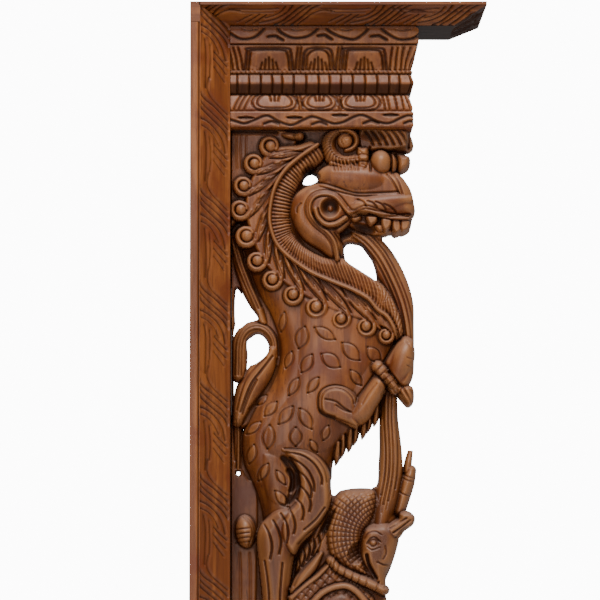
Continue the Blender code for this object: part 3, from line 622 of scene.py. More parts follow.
# Each tooth: its outline's corners, and how far it stands out.
TEETH = [
    ([(351, 216), (361, 215), (362, 219.5), (356, 223), (351, 221)], 37),
    ([(366, 216), (377, 216), (378, 222), (371, 227), (367, 223)], 41),
    ([(374, 225), (383, 224), (384, 231), (378, 232)], 36),
    ([(382, 218), (392, 219), (392, 227), (385, 233), (380.5, 225)], 41),
    ([(391.5, 220), (401, 220), (401.4, 233), (393, 234)], 40),
    ([(400, 220), (410, 220), (410.4, 230), (401, 233.5)], 40),
]


def carve_head(s):
    plate(s, [(320, 169), (344, 157), (372, 159), (392, 170), (399, 172), (406, 179), (412.5, 190),
              (415.5, 203),
              (416, 211), (411, 217), (384, 219), (361, 215), (349, 219), (341, 226), (341, 238),
              (343.5, 247),
              (342, 258), (337, 262), (331, 259.5), (320, 250.5), (306, 241.5), (296, 231), (290.5, 219),
              (291, 206),
              (296, 196), (306, 186), (318, 181)], 41, 12, 18)
    dome(s, 355, 178.5, 38, 15.5, -5, 46.5, 31)
    for offset, half_width in ((0, 1.1), (4.2, 0.9)):
        groove(s, [(317, 182 + offset), (336, 187.5 + offset), (349, 192 + 0.7 * offset),
                   (362, 194 + 0.7 * offset), (398, 192.5 + 0.7 * offset)], half_width, 1.8, 0.85)
    groove(s, [(387.6, 175), (394, 184), (400, 196)], 1.0, 1.8)
    groove(s, [(393, 173), (399, 183), (403, 196)], 1.0, 1.8)
    dome(s, 378, 204, 36, 9, 8, 45.5, 36)
    dome(s, 322, 210, 32, 27, 0, 43, 29)
    band(s, LIP_AND_EYE_BAND, 2.6, 43.6, 37)
    flutes(s, LIP_AND_EYE_BAND, (-2.6, 1.0, 3.8), 0.75, 1.5, 0.8)
    scoop(s, 330, 208.3, 9.4, 9.8, 0, 9, 1.0)
    dome(s, 330.6, 209, 3.6, 4.2, 0, 36.5, 30)
    lid = [(315.5, 210), (318.5, 218.5), (326, 225), (336, 224.6), (345.5, 219)]
    band(s, lid, 2.7, 46.5, 38)
    groove(s, beside(lid, -3), 0.8, 1.6, 0.85)
    groove(s, [(313, 214), (317, 223.5), (325.5, 229.5), (337, 229), (347, 221)], 0.9, 2.0, 0.9)
    for start, end in (((358, 200.5), (366, 207)), ((367.5, 202), (377, 208.5)), ((376, 203), (386, 210)),
                       ((384, 205), (396, 212.5))):
        groove(s, [start, ((start[0] + end[0]) / 2 + 1, (start[1] + end[1]) / 2 - 1), end], 0.95, 2.0, 0.85)
    groove(s, [(301, 204), (297.5, 208), (297, 213)], 1.0, 1.8)
    groove(s, [(341, 257), (341, 243), (335, 233)], 0.9, 1.8)
    # Painted shade: a dark scoop in the recess over the nape.
    scoop(s, 309, 170.5, 9, 4.5, 35, 7, 1.0)


def carve_jaw(s):
    plate(s, [(345, 214), (380, 215), (410, 216), (410.5, 229), (403, 233), (391, 233), (385, 235),
              (366, 235),
              (350, 227)], 27, 3, 12)
    # Dark scoops in the mouth and behind the jaw, as painted shade.
    scoop(s, 346, 232, 10, 6, 25, 5, 1.0)
    scoop(s, 363, 229, 13, 6, -15, 5, 1.0)
    scoop(s, 392, 219, 20, 3.5, 0, 5, 1.0)
    for outline, height in TEETH:
        plate(s, outline, height, 3, 12)


# %% The crest
def carve_crest(s):
    tube = [(358, 160), (346, 161.5), (336, 158.5), (330, 150.5), (329.5, 142), (333, 135.5), (340, 131.8),
            (348.5, 131.3), (355, 135), (356.5, 142), (353, 148), (346, 150.5)]
    widths = (7.2, 7.8, 8.2, 8, 7.4, 6, 4.4, 3.6, 3.6, 3.5, 3, 2.2)
    plate(s, [(324, 134), (342, 126.5), (358, 132), (362, 150), (360, 170), (340, 171), (324, 158)], 32, 6)
    tapered(s, tube, widths, 41, 22)
    line = curve_through(tube)
    for k in range(2, 38, 2):
        run = line[k + 1] - line[k]
        run = run / max(np.linalg.norm(run), 1e-9)
        side = np.array([run[1], -run[0]])
        groove(s, [tuple(line[k] - 0.5 * side), tuple(line[k] + 3.2 * side - 2.2 * run),
                   tuple(line[k] + 6.4 * side - 5.2 * run)], 0.8, 1.7, 0.75)
        groove(s, [tuple(line[k] - 2.4 * side), tuple(line[k] - 5 * side - 2 * run)], 0.7, 1.2, 0.6)
    groove(s, beside(tube[:8], 1.4), 0.75, 1.6, 0.8)
    groove(s, beside(tube[6:], 1.2), 0.7, 1.2, 0.6)
    roll(s, [(332, 163.5, 3.4, 40), (345, 167.5, 4, 41), (358, 167, 3.4, 40)], 26)
    for column in np.arange(333, 359, 3.4):
        groove(s, [(column, 162), (column + 1.5, 171)], 0.85, 1.6, 0.8)
    dome(s, 345.3, 141, 7.6, 7.4, 0, 45, 35)
    groove(s, [(349.5, 136), (344.5, 137), (341, 141.5), (344, 146.5)], 0.8, 1.5, 0.7)
    groove(s, [(347.5, 139.5), (344.5, 141), (346, 144)], 0.7, 1.0, 0.5)
    plate(s, [(356.5, 148), (363, 146.5), (369, 148), (370, 160), (369, 170), (363, 172), (356.5, 170)], 42,
          5, 18)
    plate(s, [(360, 157), (367, 157), (367, 160.5), (360, 160.5)], 45, 2, 40)
    for row in (155.4, 162.2):
        groove(s, [(358.5, row), (363, row - 0.5), (368.5, row)], 0.8, 1.6, 0.8)
    groove(s, [(362, 148), (359.5, 151), (362, 153.6)], 0.7, 1.2, 0.6)
    groove(s, [(362, 164.5), (366.5, 167), (364, 170)], 0.7, 1.2, 0.6)
    groove(s, [(370.4, 147), (370.8, 172)], 1.1, 3, 1.0)
    plate(s, [(371.5, 154), (378, 150), (387, 150.8), (391, 156), (391, 168), (385, 175.5), (377, 175),
              (371.5, 170)],
          37, 7, 18)
    dome(s, 381, 162.8, 13, 10.5, 90, 47, 30)
    groove(s, [(391.4, 152), (391.8, 174)], 0.95, 2.2, 0.9)
    plate(s, [(391.5, 154), (396, 156), (398, 163), (396.5, 170), (391.5, 172)], 39, 4, 16)
    groove(s, [(394.4, 156), (395.4, 163), (394.4, 170)], 0.8, 1.4, 0.8)


# %% [markdown]
# ## The tongue and the paws
#
# A broad fluted tongue, or perhaps the trunk of the beast it swallows, drops from the jaw behind the
# raised paw and on to the mane of the lower beast. The paw grips it.

# %% The tongue, the arm and the paw
def carve_tongue(s):
    upper = [(356, 232, 8, 24), (368, 241, 12, 27), (381, 257, 14, 28), (393, 280, 14.5, 28),
             (402, 303, 12.5, 28), (407, 326, 8, 28), (409, 348, 6, 27)]
    roll(s, upper, 8)
    middle = [(u, v) for u, v, *_ in upper]
    flutes(s, middle, (-7, -3.2, 2.2, 6), 1.0, 1.9, 0.85)
    lower = [(390, 394, 8, 25), (389.5, 420, 9.5, 27), (391, 450, 11.5, 28), (390, 476, 13.5, 29),
             (385, 502, 15, 32), (380, 524, 10, 35)]
    roll(s, lower, 8)
    for offset, end in ((-7, 498), (-2.5, 510), (1.5, 514), (5.5, 503)):
        fluting = curve_through(beside([(u, v) for u, v, *_ in lower], offset))
        fluting = [tuple(point) for point in fluting if point[1] < end]
        groove(s, fluting[:-4], 0.95, 1.8, 0.8)
        groove(s, fluting[-5:], 0.7, 0.9, 0.5)


def carve_arm(s):
    shoulder = [(319.4, 391.8), (326, 386.5), (336, 384.6), (347, 387.6), (356, 396), (358, 404),
                (358, 428),
                (346, 424), (334.5, 419.5), (322.5, 415.6), (318, 409.5), (317.3, 399.5)]
    plate(s, shoulder, 43.5, 7, 34)
    for shrink in (0.95, 0.8):
        groove(s, shrunk(shoulder[-4:] + shoulder[:6], 337, 405, shrink), 0.9, 1.6, 0.85)
    groove(s, [(320, 410), (324, 414), (335, 418), (347, 422.5), (356, 427)], 0.9, 1.6, 0.85)
    groove(s, [(325.8, 399.5), (336, 402), (343.6, 408), (352.6, 413.5)], 1.0, 1.8)
    groove(s, [(336, 405.5), (343.6, 410.5), (351, 412.5)], 0.9, 1.5)
    roll(s, [(350, 417, 9, 43), (359, 413, 12, 45.5), (370, 398, 10.5, 46), (379, 384, 9.5, 45.5)], 26)
    groove(s, [(357, 402), (358.5, 396), (366, 386), (373, 376)], 0.9, 1.6)
    groove(s, [(362, 404), (368, 394), (376, 384)], 0.8, 0.9, 0.5)


def carve_paw(s):
    plate(s, [(395, 388), (404, 384), (413, 386), (415, 396), (413, 404.5), (408, 407), (403, 402.5),
              (398, 396)],
          39, 6, 14)
    strokes(s, [[(398, 389), (402, 396), (407, 404)], [(403, 388), (406.5, 394), (411, 402)],
                [(409, 388), (413, 395)]], 1.0, 2.2, 0.9)
    hand = [(384, 363), (389, 353), (396, 342.5), (402.5, 336.5), (409, 336.5), (414, 342), (415, 360),
            (413.5, 377),
            (407, 387.5), (398, 387), (392, 379), (387, 371)]
    plate(s, hand, 40, 7, 18)
    dome(s, 401.5, 363, 26, 12.5, 72, 47.5, 29)
    groove(s, [(384, 362), (391, 350), (398, 340), (403, 335.5)], 1.0, 2.4, 1.0)
    groove(s, [(405, 341), (410, 347), (412, 356)], 0.8, 1.3, 0.7)
    for row in (358, 366):
        groove(s, [(407, row), (412, row + 2)], 0.8, 1.2, 0.6)
    cuff = [(378, 367.5), (386.5, 377.5), (394.5, 388)]
    band(s, cuff, 6.2, 48.5, 38)
    for share in np.linspace(0.05, 0.95, 5):
        u, v = 378 + 17 * share, 367.5 + 20.5 * share
        groove(s, [(u - 4.4, v + 3.6), (u, v + 0.4), (u + 4.4, v - 3.6)], 0.8, 1.9, 0.85)
    flutes(s, cuff, (-5.8, 5.8), 1.1, 2.4, 1.0)


# %% [markdown]
# ## The hind leg
#
# The haunch ends in a curled fin with a deep hollow behind it, and below it the leg stands like a fluted
# column on the back of the lower beast.

# %% The hind leg
def carve_hind_leg(s):
    leg = [(266, 518), (276, 507), (290, 504), (301, 512), (300, 530), (294, 560), (291, 580), (288, 606),
           (288, 650), (292, 684), (306, 700), (322, 706), (330, 718), (328, 730), (262, 730), (256, 712),
           (262, 680), (264, 640), (263, 600), (259, 560), (257, 538), (260, 526)]
    plate(s, leg, 40, 13, 20)
    haunch = [(254, 448), (278, 444), (292, 456), (298, 474), (296, 496), (284, 514), (270, 508),
              (260, 486)]
    plate(s, haunch, 36, 18, 16)
    for leaf in ((263.5, 472, 20, 9, 60), (281.5, 477.5, 17, 7, -58), (282, 498.5, 21, 9, -50)):
        leaf_outline(s, *leaf)
    fin = [(279, 448), (300, 446.5), (314, 452), (323.5, 460.5), (330, 473), (332, 490), (330.5, 507),
           (323, 521),
           (313, 532.5), (302, 543), (295, 554), (285, 548), (279, 530), (284, 514), (296, 500), (299, 480),
           (292, 462)]
    plate(s, fin, 43.5, 7, 24)
    hollow = [(282, 455), (289, 459), (296, 467), (299, 478), (299, 488), (295, 498), (288, 505),
              (291, 494),
              (293, 480), (290, 468)]
    for shrink in (0.4, 0.9):
        groove(s, shrunk(hollow, 293, 481, shrink), 2.4, 3, 0.9, closed=True)
    # Strokes that fan out from the inner curve of the fin.
    strokes(s, [
        [(285, 449), (303, 450.5), (316, 458), (325, 470), (327.5, 482)],
        [(286, 452), (301.5, 455), (314, 463.5), (321.5, 476), (322, 484)],
        [(290, 457), (301, 463.5), (309, 471.5), (314, 483), (314, 491)],
        [(298, 470), (306, 477.5), (311.5, 488), (311, 497)],
        [(301, 486), (308, 494), (311, 503), (309.5, 511)],
        [(297, 499), (302, 504.5), (304, 512), (302.5, 519)],
        [(289.5, 509), (294, 517), (295.5, 526), (294, 533)],
        [(281, 513), (286.5, 522), (288.5, 532), (287, 542)],
        [(273.5, 520), (279, 530), (281.5, 541), (279.5, 553)],
        [(264.5, 524), (270, 534), (272.5, 546), (270.5, 558)],
        [(328, 511), (320, 523), (308, 533), (298.5, 543)],
        [(325, 507), (316, 519), (304.5, 529)],
        [(265, 560), (268, 580), (269.5, 604), (270, 660)],
        [(283, 562), (281.5, 580), (280.5, 604), (281, 670)],
    ], 1.05, 2.1, 0.85)
    for shift in (0, 14, 28):
        groove(s, [(288 + shift, 710), (291 + shift, 720), (293 + shift, 730)], 1.8, 4, 0.9)

# %% [markdown]
# ## The lower beast and the foot
#
# A smaller horned beast crouches under the yali. The photograph ends across its neck, so everything
# below is a guess in the same style: its forelegs, a plinth with two mouldings, a fan of lotus petals and
# a hanging bud. That part is cut more broadly than the part above.

# %% The lower beast
def hatch(s, outline, angle, pitch, cut=1.4, stain=0.6):
    """Parallel cuts inside an outline, written as a ripple across it."""
    line = curve_through(outline, closed=True)
    area = s.window(line[:, :2].min(axis=0), line[:, :2].max(axis=0))
    turn = math.radians(angle)
    along = s.u[area] * math.sin(turn) + s.v[area] * math.cos(turn)
    ripple = np.where(encloses(s, line, area), (0.5 + 0.5 * np.cos(2 * math.pi * along / pitch)) ** 5, 0)
    s.depth[area] -= cut * ripple
    s.stain[area] = np.maximum(s.stain[area], stain * ripple)


def carve_lattice(s, outline, centre_u, centre_v):
    """Small squares between rings and rays round a centre, as ripples inside an outline."""
    line = curve_through(outline, closed=True)
    area = s.window(line[:, :2].min(axis=0), line[:, :2].max(axis=0))
    along, down = s.u[area] - centre_u, s.v[area] - centre_v
    rings = 0.5 + 0.5 * np.cos(2 * math.pi * np.hypot(along, down) / 4.3)
    rays = 0.5 + 0.5 * np.cos(2 * math.pi * np.arctan2(down, -along) / 0.115)
    ripple = np.where(encloses(s, line, area), np.maximum(rings ** 4, 0.9 * rays ** 4), 0)
    s.depth[area] -= 1.5 * ripple
    s.stain[area] = np.maximum(s.stain[area], 0.66 * ripple)


def carve_beast(s):
    plate(s, [(308, 520), (326, 498), (345, 489), (372, 488), (388, 496), (399, 520), (400, 535),
              (397, 550),
              (391, 568), (386, 580), (386, 592), (390, 620), (392, 660), (384, 700), (376, 740),
              (290, 740), (290, 690),
              (296, 620), (306, 560)], 30, 14, 10)
    mane = [(328, 516), (333, 500), (345, 490.5), (360, 489.5), (374, 490.5), (376, 506), (371, 522),
            (364, 532),
            (361, 545), (364, 562), (367, 574), (352, 571), (338, 563), (329, 554), (326, 535)]
    plate(s, mane, 40.5, 13, 24)
    carve_lattice(s, mane, 384, 536)
    scoop(s, 357, 552, 13, 9, 60, 5, 0.9)
    scoop(s, 324, 529, 24, 4, 62, 6, 0.95)
    face = [(362, 530), (374, 522), (386, 521), (397, 530), (398, 542), (393, 560), (386, 574), (386, 590),
            (376, 590), (370, 574), (360, 556)]
    plate(s, face, 41, 12, 22)
    scoop(s, 373, 542, 6.6, 4.4, 8, 2.2, 0.75)
    dome(s, 373, 542.2, 3.8, 3.0, 0, 42.6, 36)
    groove(s, [(366.4, 543), (370, 537.6), (375, 536.6), (380, 541)], 0.75, 1.8, 0.85)
    groove(s, [(367, 546), (372, 549), (379.5, 546.5)], 0.7, 1.4, 0.7)
    groove(s, [(364, 538), (368, 532.5), (375, 531), (381, 534)], 0.8, 1.4, 0.7)
    groove(s, [(363, 533), (367, 527.5), (375, 526)], 0.75, 1.1, 0.55)
    groove(s, [(366.5, 554), (369, 564), (376, 577)], 1.7, 4.5, 1.0)
    groove(s, [(377, 561), (383, 563.5), (389, 563.5)], 0.9, 1.6, 0.8)
    groove(s, [(385, 545), (386, 552), (383, 558)], 0.8, 1.2, 0.6)
    ear = [(384, 528), (391, 521.5), (397.5, 518), (399, 512.5), (405, 510), (411, 511.5), (415.5, 517),
           (413.5, 524.5), (405, 531), (400, 537.5), (391, 537.5)]
    plate(s, ear, 40, 5, 12)
    strokes(s, [[(389, 528), (397, 523), (406, 517.5)], [(393, 532), (401, 526.5), (410, 519.5)],
                [(396, 536), (401, 530.5), (407, 526.5)]], 1.0, 2.4, 0.9)


def carve_antler(s):
    prongs = ([(399.5, 510, 7, 27), (403.5, 496, 7.6, 26), (408, 482, 7.4, 25), (411.5, 470, 5.6, 20)],
              [(407.5, 471, 4.2, 18), (409, 461, 3.8, 16), (411, 451, 2.6, 10)])
    for prong in prongs:
        roll(s, prong, 4)
    for u, v in ((404, 494), (407.5, 480), (408.5, 476.5)):
        groove(s, [(u - 7, v - 4), (u, v), (u + 8, v + 1.5)], 0.8, 1.6, 0.85)


def carve_harness(s):
    body = [(300, 610), (340, 592), (372, 606), (384, 640), (378, 690), (340, 712), (300, 700)]
    plate(s, body, 41, 28, 24)
    flank = [(294, 592), (306, 580), (322, 570), (330, 562), (342, 572), (360, 584), (374, 600), (340, 612),
             (296, 612)]
    plate(s, flank, 39, 9, 28)
    hatch(s, flank, 52, 7.4, 1.1, 0.55)
    hatch(s, flank, -42, 7.4, 1.1, 0.55)
    rope = [(331, 560), (338, 567.5), (352, 575), (366, 581), (385, 589.5)]
    band(s, rope, 5, 43.5, 28)
    for place in curve_through(rope)[::3]:
        groove(s, [(place[0] + 2.5, place[1] - 5.5), (place[0] - 2, place[1] + 5.5)], 0.85, 1.8, 0.85)
    ridge = [(312, 602), (322, 592), (334, 586), (347, 585), (358, 592), (368, 604)]
    band(s, ridge, 4, 43, 36)
    flutes(s, ridge, (-3.6, 3.6), 0.9, 1.8, 0.85)
    plate(s, [(320, 604), (334, 593), (346, 592), (356, 602), (360, 622), (330, 626)], 42, 9, 34)
    roll(s, [(352, 650, 13, 44), (366, 690, 12, 44), (372, 716, 10, 42), (384, 734, 9, 40)], 26)
    groove(s, [(340, 636), (330, 668), (338, 702)], 2, 3.5, 0.9)
    for leaf in ((312, 640, 26, 13, 70), (322, 672, 26, 13, 95), (306, 668, 24, 11, 80)):
        leaf_outline(s, *leaf)


def carve_claws(s):
    """The upper beast's hind paw on the lower beast's back, and the tuft of its tail."""
    plate(s, [(296, 560), (303, 545), (314, 533), (324, 528), (330, 545), (326, 556), (312, 572),
              (296, 582)], 27, 6)
    for u, v in ((299, 556), (304, 549), (309, 543), (314, 538), (319, 535)):
        groove(s, [(u, v), (u + 1, v + 8), (u - 2, v + 17)], 1.0, 2.6, 0.95)
    roll(s, [(294, 590, 4.5, 37), (302, 578, 6.5, 40), (313, 565, 5.5, 41), (321, 553, 2.6, 38)], 22)
    groove(s, [(294, 585), (300, 573), (311, 560), (318, 551)], 1.0, 2.4, 0.95)
    roll(s, [(292, 597, 3.5, 38), (304, 586, 4.2, 40), (318, 575, 4, 40), (328, 565, 2.6, 39)], 24)
    groove(s, [(292, 592), (304, 581.5), (317, 571), (326, 562)], 1.0, 2.6, 0.95)
    dome(s, 246, 531, 10.5, 16.5, 6, 30, 14)
    for shift in (0, 3.4):
        groove(s, [(243 + shift, 516.5), (250 + shift * 0.8, 523), (252.6 + shift * 0.6, 533),
                   (249 + shift, 545)],
               0.8, 1.5, 0.8)
    for row in (528, 532.5, 537, 541.5):
        groove(s, [(236.5, row + 1), (243, row), (250, row - 0.6)], 0.8, 1.4, 0.75)


# %% The foot
def carve_foot(s):
    plate(s, [(228, 728), (388, 728), (393, 735), (388, 742), (228, 742)], 42, 4, 20)
    plate(s, [(228, 740), (382, 740), (372, 760), (350, 774), (228, 774)], 40, 8, 10)
    plate(s, [(228, 772), (352, 772), (357, 780), (352, 788), (228, 788)], 40, 5, 20)
    for row, far in ((742, 386), (773, 352), (788, 350)):
        groove(s, [(230, row), (far, row)], 1.8, 3, 0.9)
    for column in range(248, 350, 20):
        groove(s, [(column - 9, 770), (column - 4, 752), (column, 747), (column + 4, 752),
                   (column + 9, 770)],
               1.8, 2.4, 0.8)
    plate(s, [(228, 786), (344, 786), (338, 812), (318, 846), (290, 876), (262, 896), (228, 902)], 37, 14,
          10)
    for turn in range(5):
        angle = math.radians(8 + 17 * turn)
        groove(s, arc(228, 786, (36, 70, 104), [angle] * 3), 2.4, 4.5, 0.9)
        angle += math.radians(8.5)
        groove(s, arc(228, 786, (58, 86), [angle] * 2), 1.8, 2.2, 0.7)
    plate(s, [(228, 896), (258, 894), (263, 902), (258, 910), (228, 910)], 26, 4, 12)
    plate(s, [(228, 908), (250, 908), (254, 922), (246, 944), (228, 965)], 22, 9, 6)
    groove(s, [(230, 911), (258, 911)], 1.8, 3, 0.9)


# The gaps: over the nape, behind the tongue, under the belly, above and in the tail's loop, the notch
# under the paw, and a pin hole beside the leg.
GAPS = [
    [(303.5, 181.5), (305.5, 175), (312, 171.8), (317.3, 175), (317.3, 179), (310, 182.3)],
    [(345, 246), (352, 243), (361, 244), (367, 251), (373, 260), (376, 269), (377, 279), (370, 275),
     (359, 268), (347, 259)],
    [(379, 436), (380, 445), (379, 465), (378, 482), (372, 487), (345, 488), (334, 495), (331.5, 484),
     (334, 475), (349, 466), (361, 454), (372, 443)],
    [(236, 288), (246, 301), (258, 317), (249, 320), (236, 326)],
    [(247, 341), (252, 336), (258, 335), (264, 338), (268, 345), (268, 351), (262, 358), (251, 364),
     (248, 354)],
    [(405, 412), (416, 410), (420, 420), (420, 446), (406, 448), (403, 428)],
    [(238.4, 470.8), (240.4, 473), (238.4, 475.2), (236.4, 473)],
]


def pierce_gaps(s):
    for gap in GAPS:
        pierce(s, gap)

# %% Carving in order
for carve in (carve_ground, carve_block_under_capital, carve_tail, carve_trunk, carve_hind_leg, carve_beast,
              carve_antler, carve_harness, carve_claws, carve_tongue, carve_mane, carve_jaw, carve_head,
              carve_crest, carve_arm, carve_paw, carve_foot, pierce_gaps):
    carve(yali)
print("the yali stands out up to", round(float(yali.depth.max() * UNIT * 1000), 1),
      "mm from the middle plane")

# %% [markdown]
# ## From the sheet to wood
#
# The sheet becomes a surface on the near side, its mirror image on the far side, and a wall round every
# edge between them. The wood is cut into four pieces by height, because no piece may be too heavy to
# handle. They share their edges exactly, and they all take their shading from the whole surface, so the
# cuts between them don't show.

# %% Mesh helpers
def blurred(values, radius):
    """A smooth copy of a sheet's values, made by three passes of a running mean in each direction."""
    result = values
    for _ in range(3):
        for axis in (0, 1):
            pad = [(0, 0), (0, 0)]
            pad[axis] = (radius + 1, radius)
            total = np.cumsum(np.pad(result, pad, mode="edge"), axis=axis)
            high, low = [slice(None)] * 2, [slice(None)] * 2
            high[axis], low[axis] = slice(2 * radius + 1, None), slice(None, -2 * radius - 1)
            result = (total[tuple(high)] - total[tuple(low)]) / (2 * radius + 1)
    return result


def settled_cells(kept):
    """Leave no two cells that meet only at a corner."""
    while True:
        a, b, c, d = kept[:-1, :-1], kept[:-1, 1:], kept[1:, :-1], kept[1:, 1:]
        pinched = (a & d & ~b & ~c) | (b & c & ~a & ~d)
        if not pinched.any():
            return kept
        rows, columns = np.nonzero(pinched)
        for row, column in zip(rows, columns):
            kept[row:row + 2, column:column + 2] = False


def point_normals(points, faces):
    """Smooth normals of the whole surface, before it is cut into pieces."""
    a, b, c, d = (points[faces[:, k]] for k in range(4))
    across = np.cross(c - a, d - b)
    normals = np.zeros_like(points)
    for k in range(4):
        for axis in range(3):
            normals[:, axis] += np.bincount(faces[:, k], weights=across[:, axis], minlength=len(points))
    return normals / np.maximum(np.linalg.norm(normals, axis=1, keepdims=True), 1e-12)


def add_wood(name, node, points, faces, normals, values):
    """One piece of wood from some of the faces, with its shading and painted values."""
    used, inverse = np.unique(faces, return_inverse=True)
    mesh = bpy.data.meshes.new(name)
    mesh.from_pydata(points[used].tolist(), [], inverse.reshape(faces.shape).tolist())
    mesh.polygons.foreach_set("use_smooth", np.ones(len(faces), dtype=bool))
    if normals is not None:
        mesh.normals_split_custom_set_from_vertices(normals[used].tolist())
    for title, field in values.items():
        layer = mesh.attributes.new(title, "FLOAT", "POINT")
        layer.data.foreach_set("value", field[used].astype(np.float32))
    piece = bpy.data.objects.new(name, mesh)
    bpy.context.scene.collection.objects.link(piece)
    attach(piece, "root")
    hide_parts(node)
    print(name, "has", 2 * len(faces), "triangles")
    return piece

# %% The surface of the yali
# How wide the outline's edge is rounded, and the half thickness that it keeps, in the sheet's units.
EDGE_ROUND, LEAST_DEPTH = 7.0, 4.0


def rounded_depth(s):
    """How far the wood stands out, with the outline's edge rounded over."""
    within = np.minimum(s.inside, s.u - SHEET_BACK + 0.4 * FINE_STEP)
    rounding = np.sqrt(np.clip(1 - (1 - np.clip(within / EDGE_ROUND, 0, 1)) ** 2, 0, 1))
    beside_wall = s.u - SHEET_BACK < EDGE_ROUND
    rounding = np.where(beside_wall, np.maximum(rounding, s.inside > EDGE_ROUND / 2), rounding)
    return within, np.clip(np.minimum(s.depth, FULL_DEPTH * rounding + 2), LEAST_DEPTH, FULL_DEPTH + 2)


within, reach = rounded_depth(yali)
solid = within > 0
kept = settled_cells(solid[:-1, :-1] & solid[:-1, 1:] & solid[1:, :-1] & solid[1:, 1:])
padded = np.pad(kept, 1)
corners = (padded[:-1, :-1], padded[:-1, 1:], padded[1:, :-1], padded[1:, 1:])
rim = ~np.logical_and.reduce(corners)
used = np.logical_or.reduce(corners)

slope_v, slope_u = np.gradient(yali.inside, yali.rows, yali.columns)
steepness = np.maximum(slope_u ** 2 + slope_v ** 2, 0.3)
row_step = np.gradient(yali.rows)[:, None]
push = np.clip(yali.inside, 0, 1.2 * row_step)
u = np.maximum(np.where(rim, yali.u - push * slope_u / steepness, yali.u), SHEET_BACK)
v = np.where(rim, yali.v - push * slope_v / steepness, yali.v)
low_limit = SHEET_FOOT - 0.2
v = np.minimum(v, low_limit)
reach = np.where(rim, LEAST_DEPTH, reach)
u, v, reach = u[used], v[used], reach[used]

number = np.cumsum(used).reshape(used.shape) - 1
rows, columns = np.nonzero(kept)
near = np.stack([number[rows, columns], number[rows + 1, columns],
                 number[rows + 1, columns + 1], number[rows, columns + 1]], axis=1)
x = CORBEL_BACK + (u - SHEET_BACK) * UNIT
z = CAPITAL_FOOT - (v - SHEET_TOP) * UNIT
near_points = np.stack([x, -reach * UNIT, z], axis=1)
points = np.concatenate([near_points, near_points * (1, -1, 1)])
count = len(near_points)
far = near[:, ::-1] + count

# %% The wall round the outline
sides = np.concatenate([near[:, [k, (k + 1) % 4]] for k in range(4)])
keys = sides[:, 0].astype(np.int64) * count + sides[:, 1]
mirrored = sides[:, 1].astype(np.int64) * count + sides[:, 0]
edge = ~np.isin(keys, mirrored)
a, b = sides[edge].T
wall = np.stack([b, a, a + count, b + count], axis=1)
faces = np.concatenate([near, far, wall])
height = np.concatenate([yali.rows[rows], yali.rows[rows], v[a]])
normals = point_normals(points, faces)

# %% Painted values
# relief is the carving's height against its surroundings: the wood is painted paler as wear where it stands
# high, and darker as painted shade in the hollows.
small, broad = blurred(yali.depth, 2), blurred(yali.depth, 9)
relief = np.clip((yali.depth - small) * 0.55 + (yali.depth - broad) * 0.065, -1, 1)[used]
stain = np.clip(blurred(yali.stain, 1), 0, 1)[used]
painted = {"stain": np.tile(stain, 2), "relief": np.tile(relief, 2)}

PIECE_ROWS = (0, 285, 440, 605, 2000)
for name, low, high in zip(("corbel_mane", "corbel_body", "corbel_haunch", "corbel_foot"), PIECE_ROWS,
                           PIECE_ROWS[1:]):
    chosen = (height >= low) & (height < high)
    add_wood(name, "corbel", points, faces[chosen], normals, painted)

# %% [markdown]
# ## The capital
#
# The capital has its own sheet, one unit to 0.91 mm, which runs along the near side and on to the middle
# of the front; the rest is its mirror image. The moulding's profile is a list of steps. The petals, swags
# and waves are cuts in it, carved a little unevenly as they are on the bracket.

# %% The profile of the capital
CAPITAL_REACH, CAPITAL_HALF, CAPITAL_UNIT = 0.202, 0.048, 0.0009076
CAPITAL_TOP = CORBEL_HIGH[2]
CAPITAL_LEFT, CAPITAL_ROW = 230.4, 25.8
CAPITAL_CORNER = CAPITAL_LEFT + (CAPITAL_REACH - CORBEL_BACK) / CAPITAL_UNIT
CAPITAL_MIDDLE = CAPITAL_CORNER + CAPITAL_HALF / CAPITAL_UNIT
# Each step: the row of the sheet, and how far the wood stands past the mean face, in mm.
CAPITAL_STEPS = [
    (25.8, 1.2), (27.3, 3.4), (28.8, 4.5), (30.5, 4.8), (43.4, 4.8), (44.2, 4.6), (44.7, 3.2), (45.2, 3.8),
    (49.5, 3.2), (54, 1.9), (58.5, 0.5), (62.5, -0.9), (66, -1.9), (69.5, -2.3), (70.2, -1.2), (71.2, -0.7),
    (72.6, -0.7), (73.4, -2.2), (74.6, -1.8), (78, -0.8), (82.3, 0.5), (83.6, 0.5), (88, -0.9), (91, -2.1),
    (93.2, -3.0), (93.8, -4.6), (94.6, -4.4), (98, -3.2), (102, -2.0), (106, -0.9), (108.5, -0.4),
    (109.8, -0.6), (110.4, -2.4), (111.2, -2.4), (111.9, -0.4), (112.8, 0.2), (125.3, 0.2), (126.6, -0.3),
    (127.3, -1.0),
]
capital = Sheet(np.linspace(CAPITAL_LEFT, CAPITAL_MIDDLE, 260), np.linspace(CAPITAL_ROW, 127.3, 154), 50.0)
steps = np.array(CAPITAL_STEPS)
past = np.interp(capital.rows, steps[:, 0], steps[:, 1])[:, None] / 1000

# %% The carving of the capital
def swell(s, u, v, half_length, half_width, angle, amount):
    """A low pad on top of whatever is there."""
    area, along, across = egg(s, u, v, half_length, half_width, angle)
    s.depth[area] += amount * np.clip(1 - along ** 2 - across ** 2, 0, 1) ** 0.5


